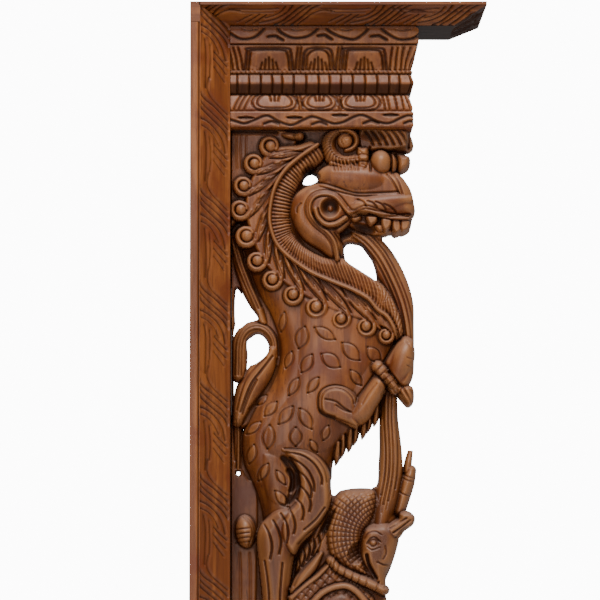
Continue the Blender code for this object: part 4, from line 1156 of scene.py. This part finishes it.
def carve_swags(s):
    swags = [[(224, 30), (230, 33.5), (241, 39.5), (254.5, 37.6), (264, 29)],
             [(278, 29), (283, 34), (294, 38.5), (308, 36.4), (318, 29)],
             [(327, 29), (332, 33), (342, 37.5), (354, 39.8), (363, 34.5), (368, 29)],
             [(382, 29), (388, 34), (399, 39.7), (410, 38.5), (418, 30)],
             [(424, 29), (431, 34), (444, 39.5), (456, 37), (466, 29)]]
    for line in swags:
        groove(s, line, 1.5, 2.0, 1.0)
        (u0, _), (u1, _) = line[0], line[-1]
        swell(s, (u0 + u1) / 2, 33, (u1 - u0) / 2.6, 5, 0, 0.7)
    for u, v, half in ((275.5, 38, 7), (325, 37, 6.5), (379, 37.6, 7.5), (421, 38, 6)):
        groove(s, [(u - half, v - 1), (u, v - 1.6), (u + half * 0.4, v), (u + half, v + 2.4)], 1.7, 2.4,
               1.0)
    for u0, u1 in ((243, 257), (292, 303), (341, 352), (396, 408)):
        groove(s, [(u0, 29.8), ((u0 + u1) / 2, 30.6), (u1, 29.6)], 1.0, 1.3, 0.85)
    groove(s, [(228, 44.6), (330, 44.6), (480, 44.6)], 0.9, 1.8, 1.0)


def carve_cyma(s):
    """Upright petals with rounded shoulders between slanted cuts."""
    for u0, u1, round_left in ((246, 292, False), (303.5, 333, True), (343, 386, False), (436, 470, True)):
        for shrink, half_width in ((0.0, 1.3), (3.6, 1.1)):
            left, right, high = u0 + shrink, u1 - shrink, 48.6 + shrink * 0.55
            corner = 7 if round_left else 3.5
            groove(s, [(left - 1, 70), (left, 60), (left + 1, high + corner * 0.6), (left + corner, high),
                       (right - 6, high), (right - 1.2, high + 3.6), (right, 60), (right + 1, 70)],
                       half_width, 1.8, 0.9)
        middle = (u0 + u1) / 2
        for du, reach in ((-7, 62), (-3.4, 59), (0, 57), (3.4, 59), (7, 62)):
            groove(s, [(middle + 1.3 * du, 70), (middle + du, reach)], 1.0, 1.8, 0.9)
        swell(s, middle, 60, (u1 - u0) / 2.4, 9, 0, 0.8)
    for u in (231, 236, 241, 296.5, 300, 337, 340.5, 391, 396.5, 402, 407.5, 413, 419, 425, 430):
        lean = -3 if u < 245 else 1.5
        groove(s, [(u + lean, 47.5), (u, 58), (u - 0.6 * lean, 70)], 1.1, 1.8, 0.85)


def carve_segments(s):
    for u in (237, 249, 260.5, 272, 282, 293.5, 306, 318.5, 329.5, 341, 352.5, 365, 377, 389, 399.5, 411.3,
              423, 435, 446.5, 458):
        groove(s, [(u, 74.4), (u + 0.4, 83), (u, 93)], 0.85, 1.8, 0.9)
    for u in np.arange(231, 470, 4.6):
        groove(s, [(u - 1.5, 69.5), (u + 0.3, 71.6), (u + 1, 73)], 0.8, 1.2, 0.7)
    groove(s, [(228, 73.9), (330, 73.9), (480, 73.9)], 0.8, 1.4, 0.95)
    groove(s, [(228, 93.9), (330, 93.9), (480, 93.9)], 0.9, 1.6, 1.0)
    # Painted shade on the lower facet of the beads, which faces down.
    shaded_lower_facet = eased((s.v - 82.6) / 1.6) * eased((94 - s.v) / 1.2)
    s.stain = np.maximum(s.stain, 0.82 * shaded_lower_facet)


def carve_hanging_petals(s):
    for u, half in ((274.5, 22), (319.5, 16.5), (360.5, 19.5), (452, 19)):
        for shrink, half_width in ((0.0, 1.2), (5.0, 1.0)):
            w, low = half - shrink, 109.4 - shrink * 0.4
            groove(s, [(u - w + 5, 94.5), (u - w + 0.6, 99.5), (u - w, 104.5), (u - w + 5, low),
                       (u, low + 0.5),
                       (u + w - 5, low), (u + w, 104.5), (u + w - 0.6, 99.5), (u + w - 5, 94.5)],
                   half_width, 1.7, 0.75)
        for du in (-5, 0, 5):
            groove(s, [(u + du, 94.5), (u + 0.7 * du, 101)], 1.0, 1.7, 0.75)
    for u in (237, 242, 247.5, 298, 301.5, 338, 341, 384, 388.5, 396, 403, 410, 417, 424):
        lean = -4 if u < 250 else 1.6
        groove(s, [(u - lean, 95), (u, 102), (u + 0.8 * lean, 109)], 1.0, 1.6, 0.75)


def carve_wave(s):
    wave = [(230, 120), (235, 121.5), (244.6, 124), (254.5, 120.5), (267, 116), (279, 122), (291.6, 125.3),
            (303, 120.5), (312.6, 117), (325, 121), (334, 124), (343.6, 122.4), (354.7, 117),
            (363.4, 115.6),
            (378, 122), (389.4, 123.6), (402, 118), (411, 115.8), (424, 120), (437, 124.5), (451, 120),
            (464, 116)]
    groove(s, wave, 1.5, 2.0, 0.95)
    for u, v in ((246.5, 118.3), (295, 118), (340.5, 115.7), (391.5, 115.5), (436, 118)):
        groove(s, [(u - 8, v - 0.4), (u, v - 1.2), (u + 7, v - 0.2)], 1.0, 1.8, 0.95)
        groove(s, [(u - 6, v), (u, v + 0.6), (u + 5, v)], 1.3, 2.0, 0.95)
    for u, v in ((271.5, 123.5), (319.5, 124), (371, 123), (412, 123), (460, 123.5)):
        groove(s, [(u - 7, v + 0.6), (u, v - 1.6), (u + 7, v + 0.8)], 1.6, 2.0, 0.95)


for carve in (carve_swags, carve_cyma, carve_segments, carve_hanging_petals, carve_wave):
    carve(capital)

# %% The block of the capital
def mirrored_block(name, node, grid, painted, shared_middle, crease=50):
    """A closed piece from the near half's grid of points, which runs down and then along."""
    rows, columns = grid.shape[:2]
    count = rows * columns
    index = np.arange(count).reshape(rows, columns)
    other = index + count
    if shared_middle:
        other[:, -1] = index[:, -1]
        grid[:, -1, 1] = 0
    near = np.stack([index[:-1, :-1], index[1:, :-1], index[1:, 1:], index[:-1, 1:]], axis=-1).reshape(-1,
                                                                                                       4)
    far = np.stack([other[:-1, :-1], other[:-1, 1:], other[1:, 1:], other[1:, :-1]], axis=-1).reshape(-1, 4)

    def joined(line, line_other):
        return np.stack([line[1:], line[:-1], line_other[:-1], line_other[1:]], axis=1)

    walls = [joined(index[::-1, 0], other[::-1, 0]), joined(index[0], other[0])]
    walls.append(joined(index[-1, ::-1], other[-1, ::-1]))
    if not shared_middle:
        walls.append(joined(index[:, -1], other[:, -1]))
    points = np.concatenate([grid.reshape(-1, 3), grid.reshape(-1, 3) * (1, -1, 1)])
    values = {title: np.tile(field.ravel(), 2) for title, field in painted.items()}
    piece = add_wood(name, node, points, np.concatenate([near, far, *walls]), None, values)
    shape = bmesh.new()
    shape.from_mesh(piece.data)
    bmesh.ops.recalc_face_normals(shape, faces=shape.faces[:])
    for edge in shape.edges:
        edge.smooth = len(edge.link_faces) == 2 and edge.calc_face_angle(0) < math.radians(crease)
    shape.to_mesh(piece.data)
    shape.free()


out = past + capital.depth * CAPITAL_UNIT
along = (capital.u - CAPITAL_CORNER) * CAPITAL_UNIT
mitre = eased(1 - np.abs(along) / 0.012)
x = np.where(along < 0, CAPITAL_REACH + along + out * mitre, CAPITAL_REACH + out)
y = np.where(along < 0, -CAPITAL_HALF - out, -CAPITAL_HALF + along - out * mitre)
z = CAPITAL_TOP - (capital.v - CAPITAL_ROW) * CAPITAL_UNIT
lift = np.clip((capital.depth - blurred(capital.depth, 2)) * 0.5 + (capital.depth - blurred(capital.depth,
                                                                                            7)) * 0.2,
               -1, 1)
mirrored_block("corbel_capital", "corbel", np.stack([x, y, z], axis=-1),
               {"stain": blurred(capital.stain, 1), "relief": lift}, True)

# %% [markdown]
# ## The boards
#
# The back board and the shelf meet like two sides of a picture frame. The same long leaf runs down the
# sloping edge of one and along the edge of the other. It is written once, as strokes counted along the
# edge and across it, and repeated by a loop. Each repeat is shifted a little, as the carver's were.

# %% The leaf of the edges
# Each stroke: points (along, across from the outer edge), half width, cut.
EDGE_LEAF = [
    ([(-26, -1), (-17, 5), (-10, 14), (-3, 22), (5, 30)], 1.5, 2.2),
    ([(-18, -1), (-10, 5), (-2, 14), (5, 22), (13, 29)], 1.3, 2.0),
    ([(-11, -1), (-4, 5), (5, 15), (13, 24), (21, 29)], 1.6, 2.4),
    ([(-38, 9), (-27, 8), (-18, 12), (-10, 20), (-3, 28)], 1.2, 1.8),
    ([(2, -1), (6, 8), (14, 17), (24, 23), (36, 26)], 1.4, 2.2),
    ([(10, 2), (14, 9), (21, 15), (30, 19)], 1.1, 1.7),
    ([(17, 5), (30, 6.6), (48, 6.8), (66, 6)], 1.3, 1.8),
    ([(22, 10), (38, 11), (56, 10)], 1.0, 1.5),
    ([(29, 15), (35, 20), (42, 27)], 1.3, 2.0),
    ([(36, 14), (43, 20), (50, 26)], 1.2, 1.8),
    ([(44, 14), (51, 19), (58, 24)], 1.1, 1.7),
]


def carve_edge(s, start, direction, pitch, count, narrow=1.0, stain=0.8):
    """Leaves along an edge from a start, running down it or back along it."""
    rng = np.random.default_rng(7)
    for number in range(count):
        first = start + direction * number * pitch + rng.uniform(-1.5, 1.5)
        for points, half_width, cut in EDGE_LEAF:
            line = [(across * narrow + rng.uniform(-0.4, 0.4), first + direction * a) for a,
                    across in points]
            groove(s, line, 0.9 * half_width, 0.9 * cut, stain)


# The grid step of the edge's leaves, in the sheet's units.
EDGE_STEP = 0.8


def edge_pattern(first, last):
    """An empty sheet for an edge's leaves: its width by a stretch along it."""
    return Sheet(np.arange(-4, 36, EDGE_STEP), np.arange(first, last, EDGE_STEP))


def sampled(s, field, u, v):
    """A sheet's value at any place, between its points."""
    column = np.clip((u - s.columns[0]) / (s.columns[1] - s.columns[0]), 0, len(s.columns) - 1.001)
    row = np.clip((v - s.rows[0]) / (s.rows[1] - s.rows[0]), 0, len(s.rows) - 1.001)
    i, j = row.astype(int), column.astype(int)
    p, q = row - i, column - j
    top = field[i, j] * (1 - q) + field[i, j + 1] * q
    return top * (1 - p) + (field[i + 1, j] * (1 - q) + field[i + 1, j + 1] * q) * p

# %% The back board
# The plain strip at the wall, the bevel's inner edge, the quirk between them and the gap at the shelf.
TOP, BACK_STRIP, BACK_THICKNESS = SHELF_HIGH[2], 0.008, BACK_HIGH[0]
BOARD_HALF, BACK_INNER, QUIRK, GAP = BACK_HIGH[1], 0.050, 0.0012, 0.0003
SHELF_UNDERSIDE, SHELF_BEVEL, SHELF_EDGE, SHELF_LENGTH = 0.4317, 0.029, 0.0032, SHELF_HIGH[0]
MITRE_FOOT = 0.395
board_profile = np.array([(0, BOARD_HALF), (BACK_STRIP - QUIRK, BOARD_HALF),
                          (BACK_STRIP, BOARD_HALF - QUIRK),
                          (BACK_STRIP + QUIRK, BOARD_HALF - QUIRK / 2), (BACK_THICKNESS, BACK_INNER)])
edge_sheet = edge_pattern(-4, 1010)
carve_edge(edge_sheet, 20, 1, 95.5, 11, stain=0.62)

columns = np.concatenate([[0, 0.003, 0.006, 0.0066], np.arange(0.007, 0.0095, 0.0004),
                          np.arange(0.0098, BACK_THICKNESS, 0.0008), [BACK_THICKNESS]])
rows = np.concatenate([np.arange(0, LAST_FINE_ROW, 1.15), np.arange(LAST_FINE_ROW, 1000, 3.0), [1000.0]])
x, row = np.meshgrid(columns, rows)
y = np.interp(x, board_profile[:, 0], board_profile[:, 1])
slope = (TOP - SHELF_EDGE - SHELF_UNDERSIDE) / SHELF_BEVEL
top = SHELF_UNDERSIDE - GAP + slope * np.clip(y - BOARD_HALF + SHELF_BEVEL, 0,
                                              None) * (x > BACK_STRIP + QUIRK)
z_free = TOP - row * PHOTO_PIXEL
pressed = MITRE_FOOT + (z_free - MITRE_FOOT) * (top - MITRE_FOOT) / (TOP - MITRE_FOOT)
z = np.where(z_free > MITRE_FOOT, pressed, z_free)
across = (x - BACK_STRIP - QUIRK) / PHOTO_PIXEL
cut = sampled(edge_sheet, edge_sheet.depth, across, (TOP - z) / PHOTO_PIXEL)
on_bevel = eased(across / 1.5) * eased((BACK_THICKNESS - x) / 0.0008)
sunk = cut * on_bevel * PHOTO_PIXEL - 0.0004 * on_bevel * eased(np.abs(across - 14) / 16 - 0.2)
tilt = math.atan2(BOARD_HALF - BACK_INNER, BACK_THICKNESS - BACK_STRIP)
grid = np.stack([x + sunk * math.sin(tilt), -y - sunk * math.cos(tilt), z], axis=-1)
stain = sampled(edge_sheet, edge_sheet.stain, across, (TOP - z) / PHOTO_PIXEL) * on_bevel
stain = np.maximum(stain, 0.9 * np.exp(-((x - BACK_STRIP) / PHOTO_PIXEL) ** 2))
mirrored_block("back_board_carved", "back_board", grid,
               {"stain": stain, "relief": cut * on_bevel * 0.2 + 0.1}, False)

# %% The shelf
SHELF_LEAF_PITCH, SHELF_NARROWING = 92, 0.98
shelf_leaf, front_leaf = edge_pattern(-4, 400), edge_pattern(-100, 100)
for pattern, start, count in ((shelf_leaf, 105, 2), (shelf_leaf, 197, 1), (shelf_leaf, 265, 1),
                              (front_leaf, 24, 1), (front_leaf, 98, 1)):
    carve_edge(pattern, start, -1, SHELF_LEAF_PITCH, count, SHELF_NARROWING)

down = np.concatenate([[0, 0.0006, 0.0026, 0.0032], np.linspace(0.0034, SHELF_BEVEL + SHELF_EDGE, 32)])
inset = np.clip(down - SHELF_EDGE, 0, None)[:, None]
drop = np.minimum(down, SHELF_EDGE)[:, None] + inset * slope
side_share, front_share = np.linspace(0, 1, 290)[None, :], np.linspace(0, 1, 90)[None, 1:]
side_x = BACK_STRIP + side_share * (SHELF_LENGTH - inset - BACK_STRIP)
front_y = (BOARD_HALF - inset) * (1 - front_share)
across = inset / PHOTO_PIXEL * 0.93 - 1
side_cut = sampled(shelf_leaf, shelf_leaf.depth, across + 0 * side_x, side_x / PHOTO_PIXEL)
side_polish_and_shade = sampled(shelf_leaf, shelf_leaf.stain, across + 0 * side_x, side_x / PHOTO_PIXEL)
front_cut = sampled(front_leaf, front_leaf.depth, across + 0 * front_y, front_y / PHOTO_PIXEL)
inside_bevel = eased(inset / 0.0016) * eased((SHELF_BEVEL - inset) / 0.0012)
to_mitre = eased(np.abs(SHELF_LENGTH - inset - side_x) / 0.0015) * eased((side_x - BACK_STRIP) / 0.001)
side_sunk = side_cut * inside_bevel * to_mitre * PHOTO_PIXEL
front_sunk = front_cut * inside_bevel * eased((BOARD_HALF - inset - front_y) / 0.0015) * PHOTO_PIXEL
lean = math.atan(slope)
side = np.stack([side_x, -(BOARD_HALF - inset + side_sunk * math.sin(lean)) + 0 * side_x,
                 TOP - drop - side_sunk * math.cos(lean) + 0 * side_x], axis=-1)
front = np.stack([SHELF_LENGTH - inset + front_sunk * math.sin(lean), -front_y,
                  TOP - drop - front_sunk * math.cos(lean)], axis=-1)
grid = np.concatenate([side, front], axis=1)
# The front bevel is painted dark all over, as painted shade.
stain = np.concatenate([side_polish_and_shade, np.ones(front_cut.shape)], axis=1) * inside_bevel
stain = np.maximum(stain, 0.85 * np.exp(-((down - SHELF_EDGE) / 0.0007) ** 2)[:, None])
# The last row borders the underside and is painted nearly black, as painted shade under the shelf.
stain[-1] = 1.0
relief = np.concatenate([side_cut, front_cut], axis=1) * 0.2 + 0.1
relief[-1] = -1.0
mirrored_block("shelf_carved", "shelf", grid, {"stain": stain, "relief": relief}, True, 20)

end = bmesh.new()
bmesh.ops.create_cube(end, size=1.0)
bmesh.ops.scale(end, vec=(BACK_STRIP + 0.001, 2 * BOARD_HALF, TOP - SHELF_UNDERSIDE), verts=end.verts)
bmesh.ops.translate(end, vec=((BACK_STRIP + 0.001) / 2, 0, (TOP + SHELF_UNDERSIDE) / 2), verts=end.verts)
mesh = bpy.data.meshes.new("shelf_end")
end.to_mesh(mesh)
end.free()
shelf_end = bpy.data.objects.new("shelf_end", mesh)
bpy.context.scene.collection.objects.link(shelf_end)
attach(shelf_end, "root")
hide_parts("shelf")

# %% [markdown]
# ## The wood's finish and its painted light
#
# The bracket was oiled and handled for many years. Dark polish fills every cut and painted shade darkens
# the deep hollows, the high places are worn paler, and a pale sheen is painted on what faces up, mottled
# like dust. The grain runs along each board, so each piece of wood gets the same shader with its own
# direction of stretch and its own painted light: the back board is painted brighter, and the corbel
# darker towards the bottom.

# %% Shader helpers
def new_group(name, inputs, outputs):
    """A node group with its sockets, given as names and kinds."""
    tree = bpy.data.node_groups.new(name, "ShaderNodeTree")
    for title, kind in inputs:
        tree.interface.new_socket(title, in_out="INPUT", socket_type=kind)
    for title, kind in outputs:
        tree.interface.new_socket(title, in_out="OUTPUT", socket_type=kind)
    return tree, tree.nodes.new("NodeGroupInput"), tree.nodes.new("NodeGroupOutput")


def node(tree, kind, sockets=None, **settings):
    """A node with its settings; a socket gets a value or a link from another socket."""
    made = tree.nodes.new(kind)
    for name, value in settings.items():
        setattr(made, name, value)
    for socket, value in (sockets or {}).items():
        if isinstance(value, bpy.types.NodeSocket):
            tree.links.new(value, made.inputs[socket])
        else:
            made.inputs[socket].default_value = value
    return made


def mixed(tree, amount, first, second):
    """A second colour laid over a first, by an amount."""
    return node(tree, "ShaderNodeMix", {0: amount, 6: first, 7: second}, data_type="RGBA").outputs[2]


def ramp(tree, value, low, high):
    """From 0 to 1, as a value runs from low to high."""
    made = node(tree, "ShaderNodeMapRange", {"Value": value, "From Min": low, "From Max": high},
                interpolation_type="SMOOTHSTEP")
    return made.outputs["Result"]


def linear(red, green, blue):
    """A screen colour, 0 to 255, as light."""
    values = [c / 255 for c in (red, green, blue)]
    return tuple(c / 12.92 if c <= 0.04045 else ((c + 0.055) / 1.055) ** 2.4 for c in values) + (1.0,)

# %% The wood
wood_tree, wood_in, wood_out = new_group(
    "aged carved wood",
    [("Stretch", "NodeSocketVector"), ("Tone", "NodeSocketFloat"), ("Low Tone", "NodeSocketFloat")],
    [("Color", "NodeSocketColor"), ("Roughness", "NodeSocketFloat"), ("Gloss", "NodeSocketFloat"),
     ("Height", "NodeSocketFloat")])


def wood_node(kind, sockets=None, output=0, **settings):
    """The socket that a new node of the wood's group gives."""
    return node(wood_tree, kind, sockets, **settings).outputs[output]


def part_of(value, low, high, most):
    """From 0 up to the most, as a value runs from low to high."""
    return wood_node("ShaderNodeMath", {0: ramp(wood_tree, value, low, high), 1: most},
                     operation="MULTIPLY")


def tinted(base, amount, *colour):
    return mixed(wood_tree, amount, base, linear(*colour))

# %% Grain, figure and blotches
place = wood_node("ShaderNodeTexCoord", output="Object")
grained = wood_node("ShaderNodeVectorMath", {0: place, 1: wood_in.outputs["Stretch"]}, operation="MULTIPLY")
grain = wood_node("ShaderNodeTexNoise", {"Vector": grained, "Scale": 420.0, "Detail": 5.0, "Roughness": 0.6,
                                         "Distortion": 0.4})
figure = wood_node("ShaderNodeTexNoise", {"Vector": grained, "Scale": 90.0, "Detail": 3.0,
                                          "Distortion": 0.8})
blotch = wood_node("ShaderNodeTexNoise", {"Vector": place, "Scale": 28.0, "Detail": 4.0})
stain = wood_node("ShaderNodeAttribute", output="Fac", attribute_name="stain")
relief = wood_node("ShaderNodeAttribute", output="Fac", attribute_name="relief")

base = mixed(wood_tree, ramp(wood_tree, figure, 0.38, 0.66), linear(114, 59, 22), linear(148, 85, 37))
base = tinted(base, ramp(wood_tree, grain, 0.5, 0.75), 92, 46, 18)
base = tinted(base, ramp(wood_tree, blotch, 0.5, 0.72), 112, 52, 20)
# Painted light and shade: each piece is scaled between its brightness below and above, so the corbel grows
# darker towards the bottom.
level = ramp(wood_tree, wood_node("ShaderNodeSeparateXYZ", {0: place}, output=2), -0.02, 0.14)
painted_light_above = wood_node("ShaderNodeMapRange", {"Value": level, "To Min": wood_in.outputs["Low Tone"],
                                        "To Max": wood_in.outputs["Tone"]})
base = wood_node("ShaderNodeVectorMath", {0: base, "Scale": painted_light_above}, operation="SCALE")

# %% Wear, polish and painted shade, dust and painted sheen
base = tinted(base, part_of(relief, 0.12, 0.8, 0.5), 184, 126, 78)
# Painted shade: the wood is darkened where the carving lies below its surroundings.
sunk = part_of(relief, -0.08, -0.8, 0.74)
base = tinted(base, sunk, 52, 26, 13)
# Dark polish in the cuts, and painted shade in the deep hollows and recesses.
dark = part_of(stain, 0.2, 0.95, 0.86)
base = tinted(base, dark, 38, 18, 10)
# Painted sheen: a pale pinkish grey on the faces that look up towards the lamp above, mottled like dust.
normal = wood_node("ShaderNodeNewGeometry", output="Normal")
up = wood_node("ShaderNodeSeparateXYZ", {0: normal}, output=2)
dust_and_sheen = wood_node("ShaderNodeMapRange", {"Value": blotch, "From Min": 0.35, "From Max": 0.65, "To Min": 0.26,
                                        "To Max": 0.62})
base = tinted(base, part_of(up, 0.16, 1.0, dust_and_sheen), 172, 136, 120)
shine = wood_node("ShaderNodeMapRange", {"Value": grain, "From Min": 0.3, "From Max": 0.7, "To Min": 0.36,
                                         "To Max": 0.5})
hollow = wood_node("ShaderNodeMath", {0: sunk, 1: dark}, operation="MAXIMUM")
gloss = wood_node("ShaderNodeMapRange", {"Value": hollow, "To Min": 0.5, "To Max": 0.04})
for title, value in (("Color", base), ("Roughness", shine), ("Gloss", gloss), ("Height", grain)):
    wood_tree.links.new(value, wood_out.inputs[title])


def wood_material(name, stretch, painted_light_above, painted_light_below):
    material = bpy.data.materials.new(name)
    material.use_nodes = True
    tree = material.node_tree
    shader = tree.nodes["Principled BSDF"]
    group = node(tree, "ShaderNodeGroup", {"Stretch": stretch, "Tone": painted_light_above, "Low Tone": painted_light_below},
                 node_tree=wood_tree)
    looks = group.outputs
    bump = node(tree, "ShaderNodeBump", {"Height": looks["Height"], "Strength": 0.12, "Distance": 0.0004})
    for title, value in (("Base Color", looks["Color"]), ("Roughness", looks["Roughness"]),
                         ("Normal", bump.outputs[0]), ("Specular IOR Level", looks["Gloss"])):
        tree.links.new(value, shader.inputs[title])
    return material


# For each piece: how its grain is stretched, and its painted light, the scale of its wood's brightness
# above and below: the back board is painted brighter, and the corbel darker towards the bottom.
GRAIN_AND_PAINTED_LIGHT = {"back_board": ((1.0, 1.0, 0.07), 1.16, 1.16), "shelf": ((0.07, 1.0, 1.0), 1.0, 1.0),
                  "corbel": ((1.0, 1.0, 0.12), 0.98, 0.66)}
finishes = {title: wood_material(title + " wood", *look) for title, look in GRAIN_AND_PAINTED_LIGHT.items()}
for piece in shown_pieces():
    for title in finishes:
        if piece.name.startswith(title):
            piece.data.materials.clear()
            piece.data.materials.append(finishes[title])

# %% [markdown]
# ## The light
#
# The photograph was taken in a white room. A wide lamp above gives the pale sheen, which is also
# painted into the wood's colour on what faces up, a second one in front shows the carving, a weak one
# below lights the shelf's bevel, and the white all round fills the hollows.

# %% Lamps and surroundings
def area_lamp(name, place, target, width, height, power, colour):
    lamp = bpy.data.objects.new(name, bpy.data.lights.new(name, "AREA"))
    lamp.data.shape = "RECTANGLE"
    lamp.data.size, lamp.data.size_y = width, height
    lamp.data.energy, lamp.data.color = power, colour
    lamp.location = place
    direction = np.array(target) - np.array(place)
    flat = math.hypot(direction[0], direction[1])
    lamp.rotation_euler = (math.pi / 2 + math.atan2(direction[2], flat), 0,
                           math.atan2(-direction[0], direction[1]))
    bpy.context.scene.collection.objects.link(lamp)


area_lamp("high lamp", (0.3, -1.3, 2.1), (0.1, 0, 0.1), 1.8, 1.0, 52, (1.0, 0.97, 0.94))
area_lamp("front lamp", (-0.5, -2.6, 0.5), (0.1, 0, 0.0), 1.4, 1.2, 22, (1.0, 0.96, 0.9))
area_lamp("low lamp", (0.2, -1.8, -1.2), (0.1, 0, 0.3), 1.4, 0.8, 5, (1.0, 0.92, 0.84))
world = bpy.data.worlds.new("white room")
bpy.context.scene.world = world
world.use_nodes = True
sky = world.node_tree
room = sky.nodes["Background"]
room.inputs["Color"].default_value = (1, 1, 1, 1)
room.inputs["Strength"].default_value = 0.22
paper = node(sky, "ShaderNodeBackground", {"Color": (1, 1, 1, 1), "Strength": 12.0})
seen = node(sky, "ShaderNodeLightPath").outputs["Is Camera Ray"]
either = node(sky, "ShaderNodeMixShader", {0: seen, 1: room.outputs[0], 2: paper.outputs[0]})
sky.links.new(either.outputs[0], sky.nodes["World Output"].inputs["Surface"])

# %% The floor
floor_mesh = bpy.data.meshes.new("floor")
floor_mesh.from_pydata([(-3, -3, -0.62), (3, -3, -0.62), (3, 3, -0.62), (-3, 3, -0.62)], [], [(0, 1, 2, 3)])
floor = bpy.data.objects.new("floor", floor_mesh)
bpy.context.scene.collection.objects.link(floor)
pale = bpy.data.materials.new("pale floor")
pale.use_nodes = True
pale.node_tree.nodes["Principled BSDF"].inputs["Base Color"].default_value = (0.8, 0.8, 0.8, 1)
pale.node_tree.nodes["Principled BSDF"].inputs["Roughness"].default_value = 0.8
floor_mesh.materials.append(pale)
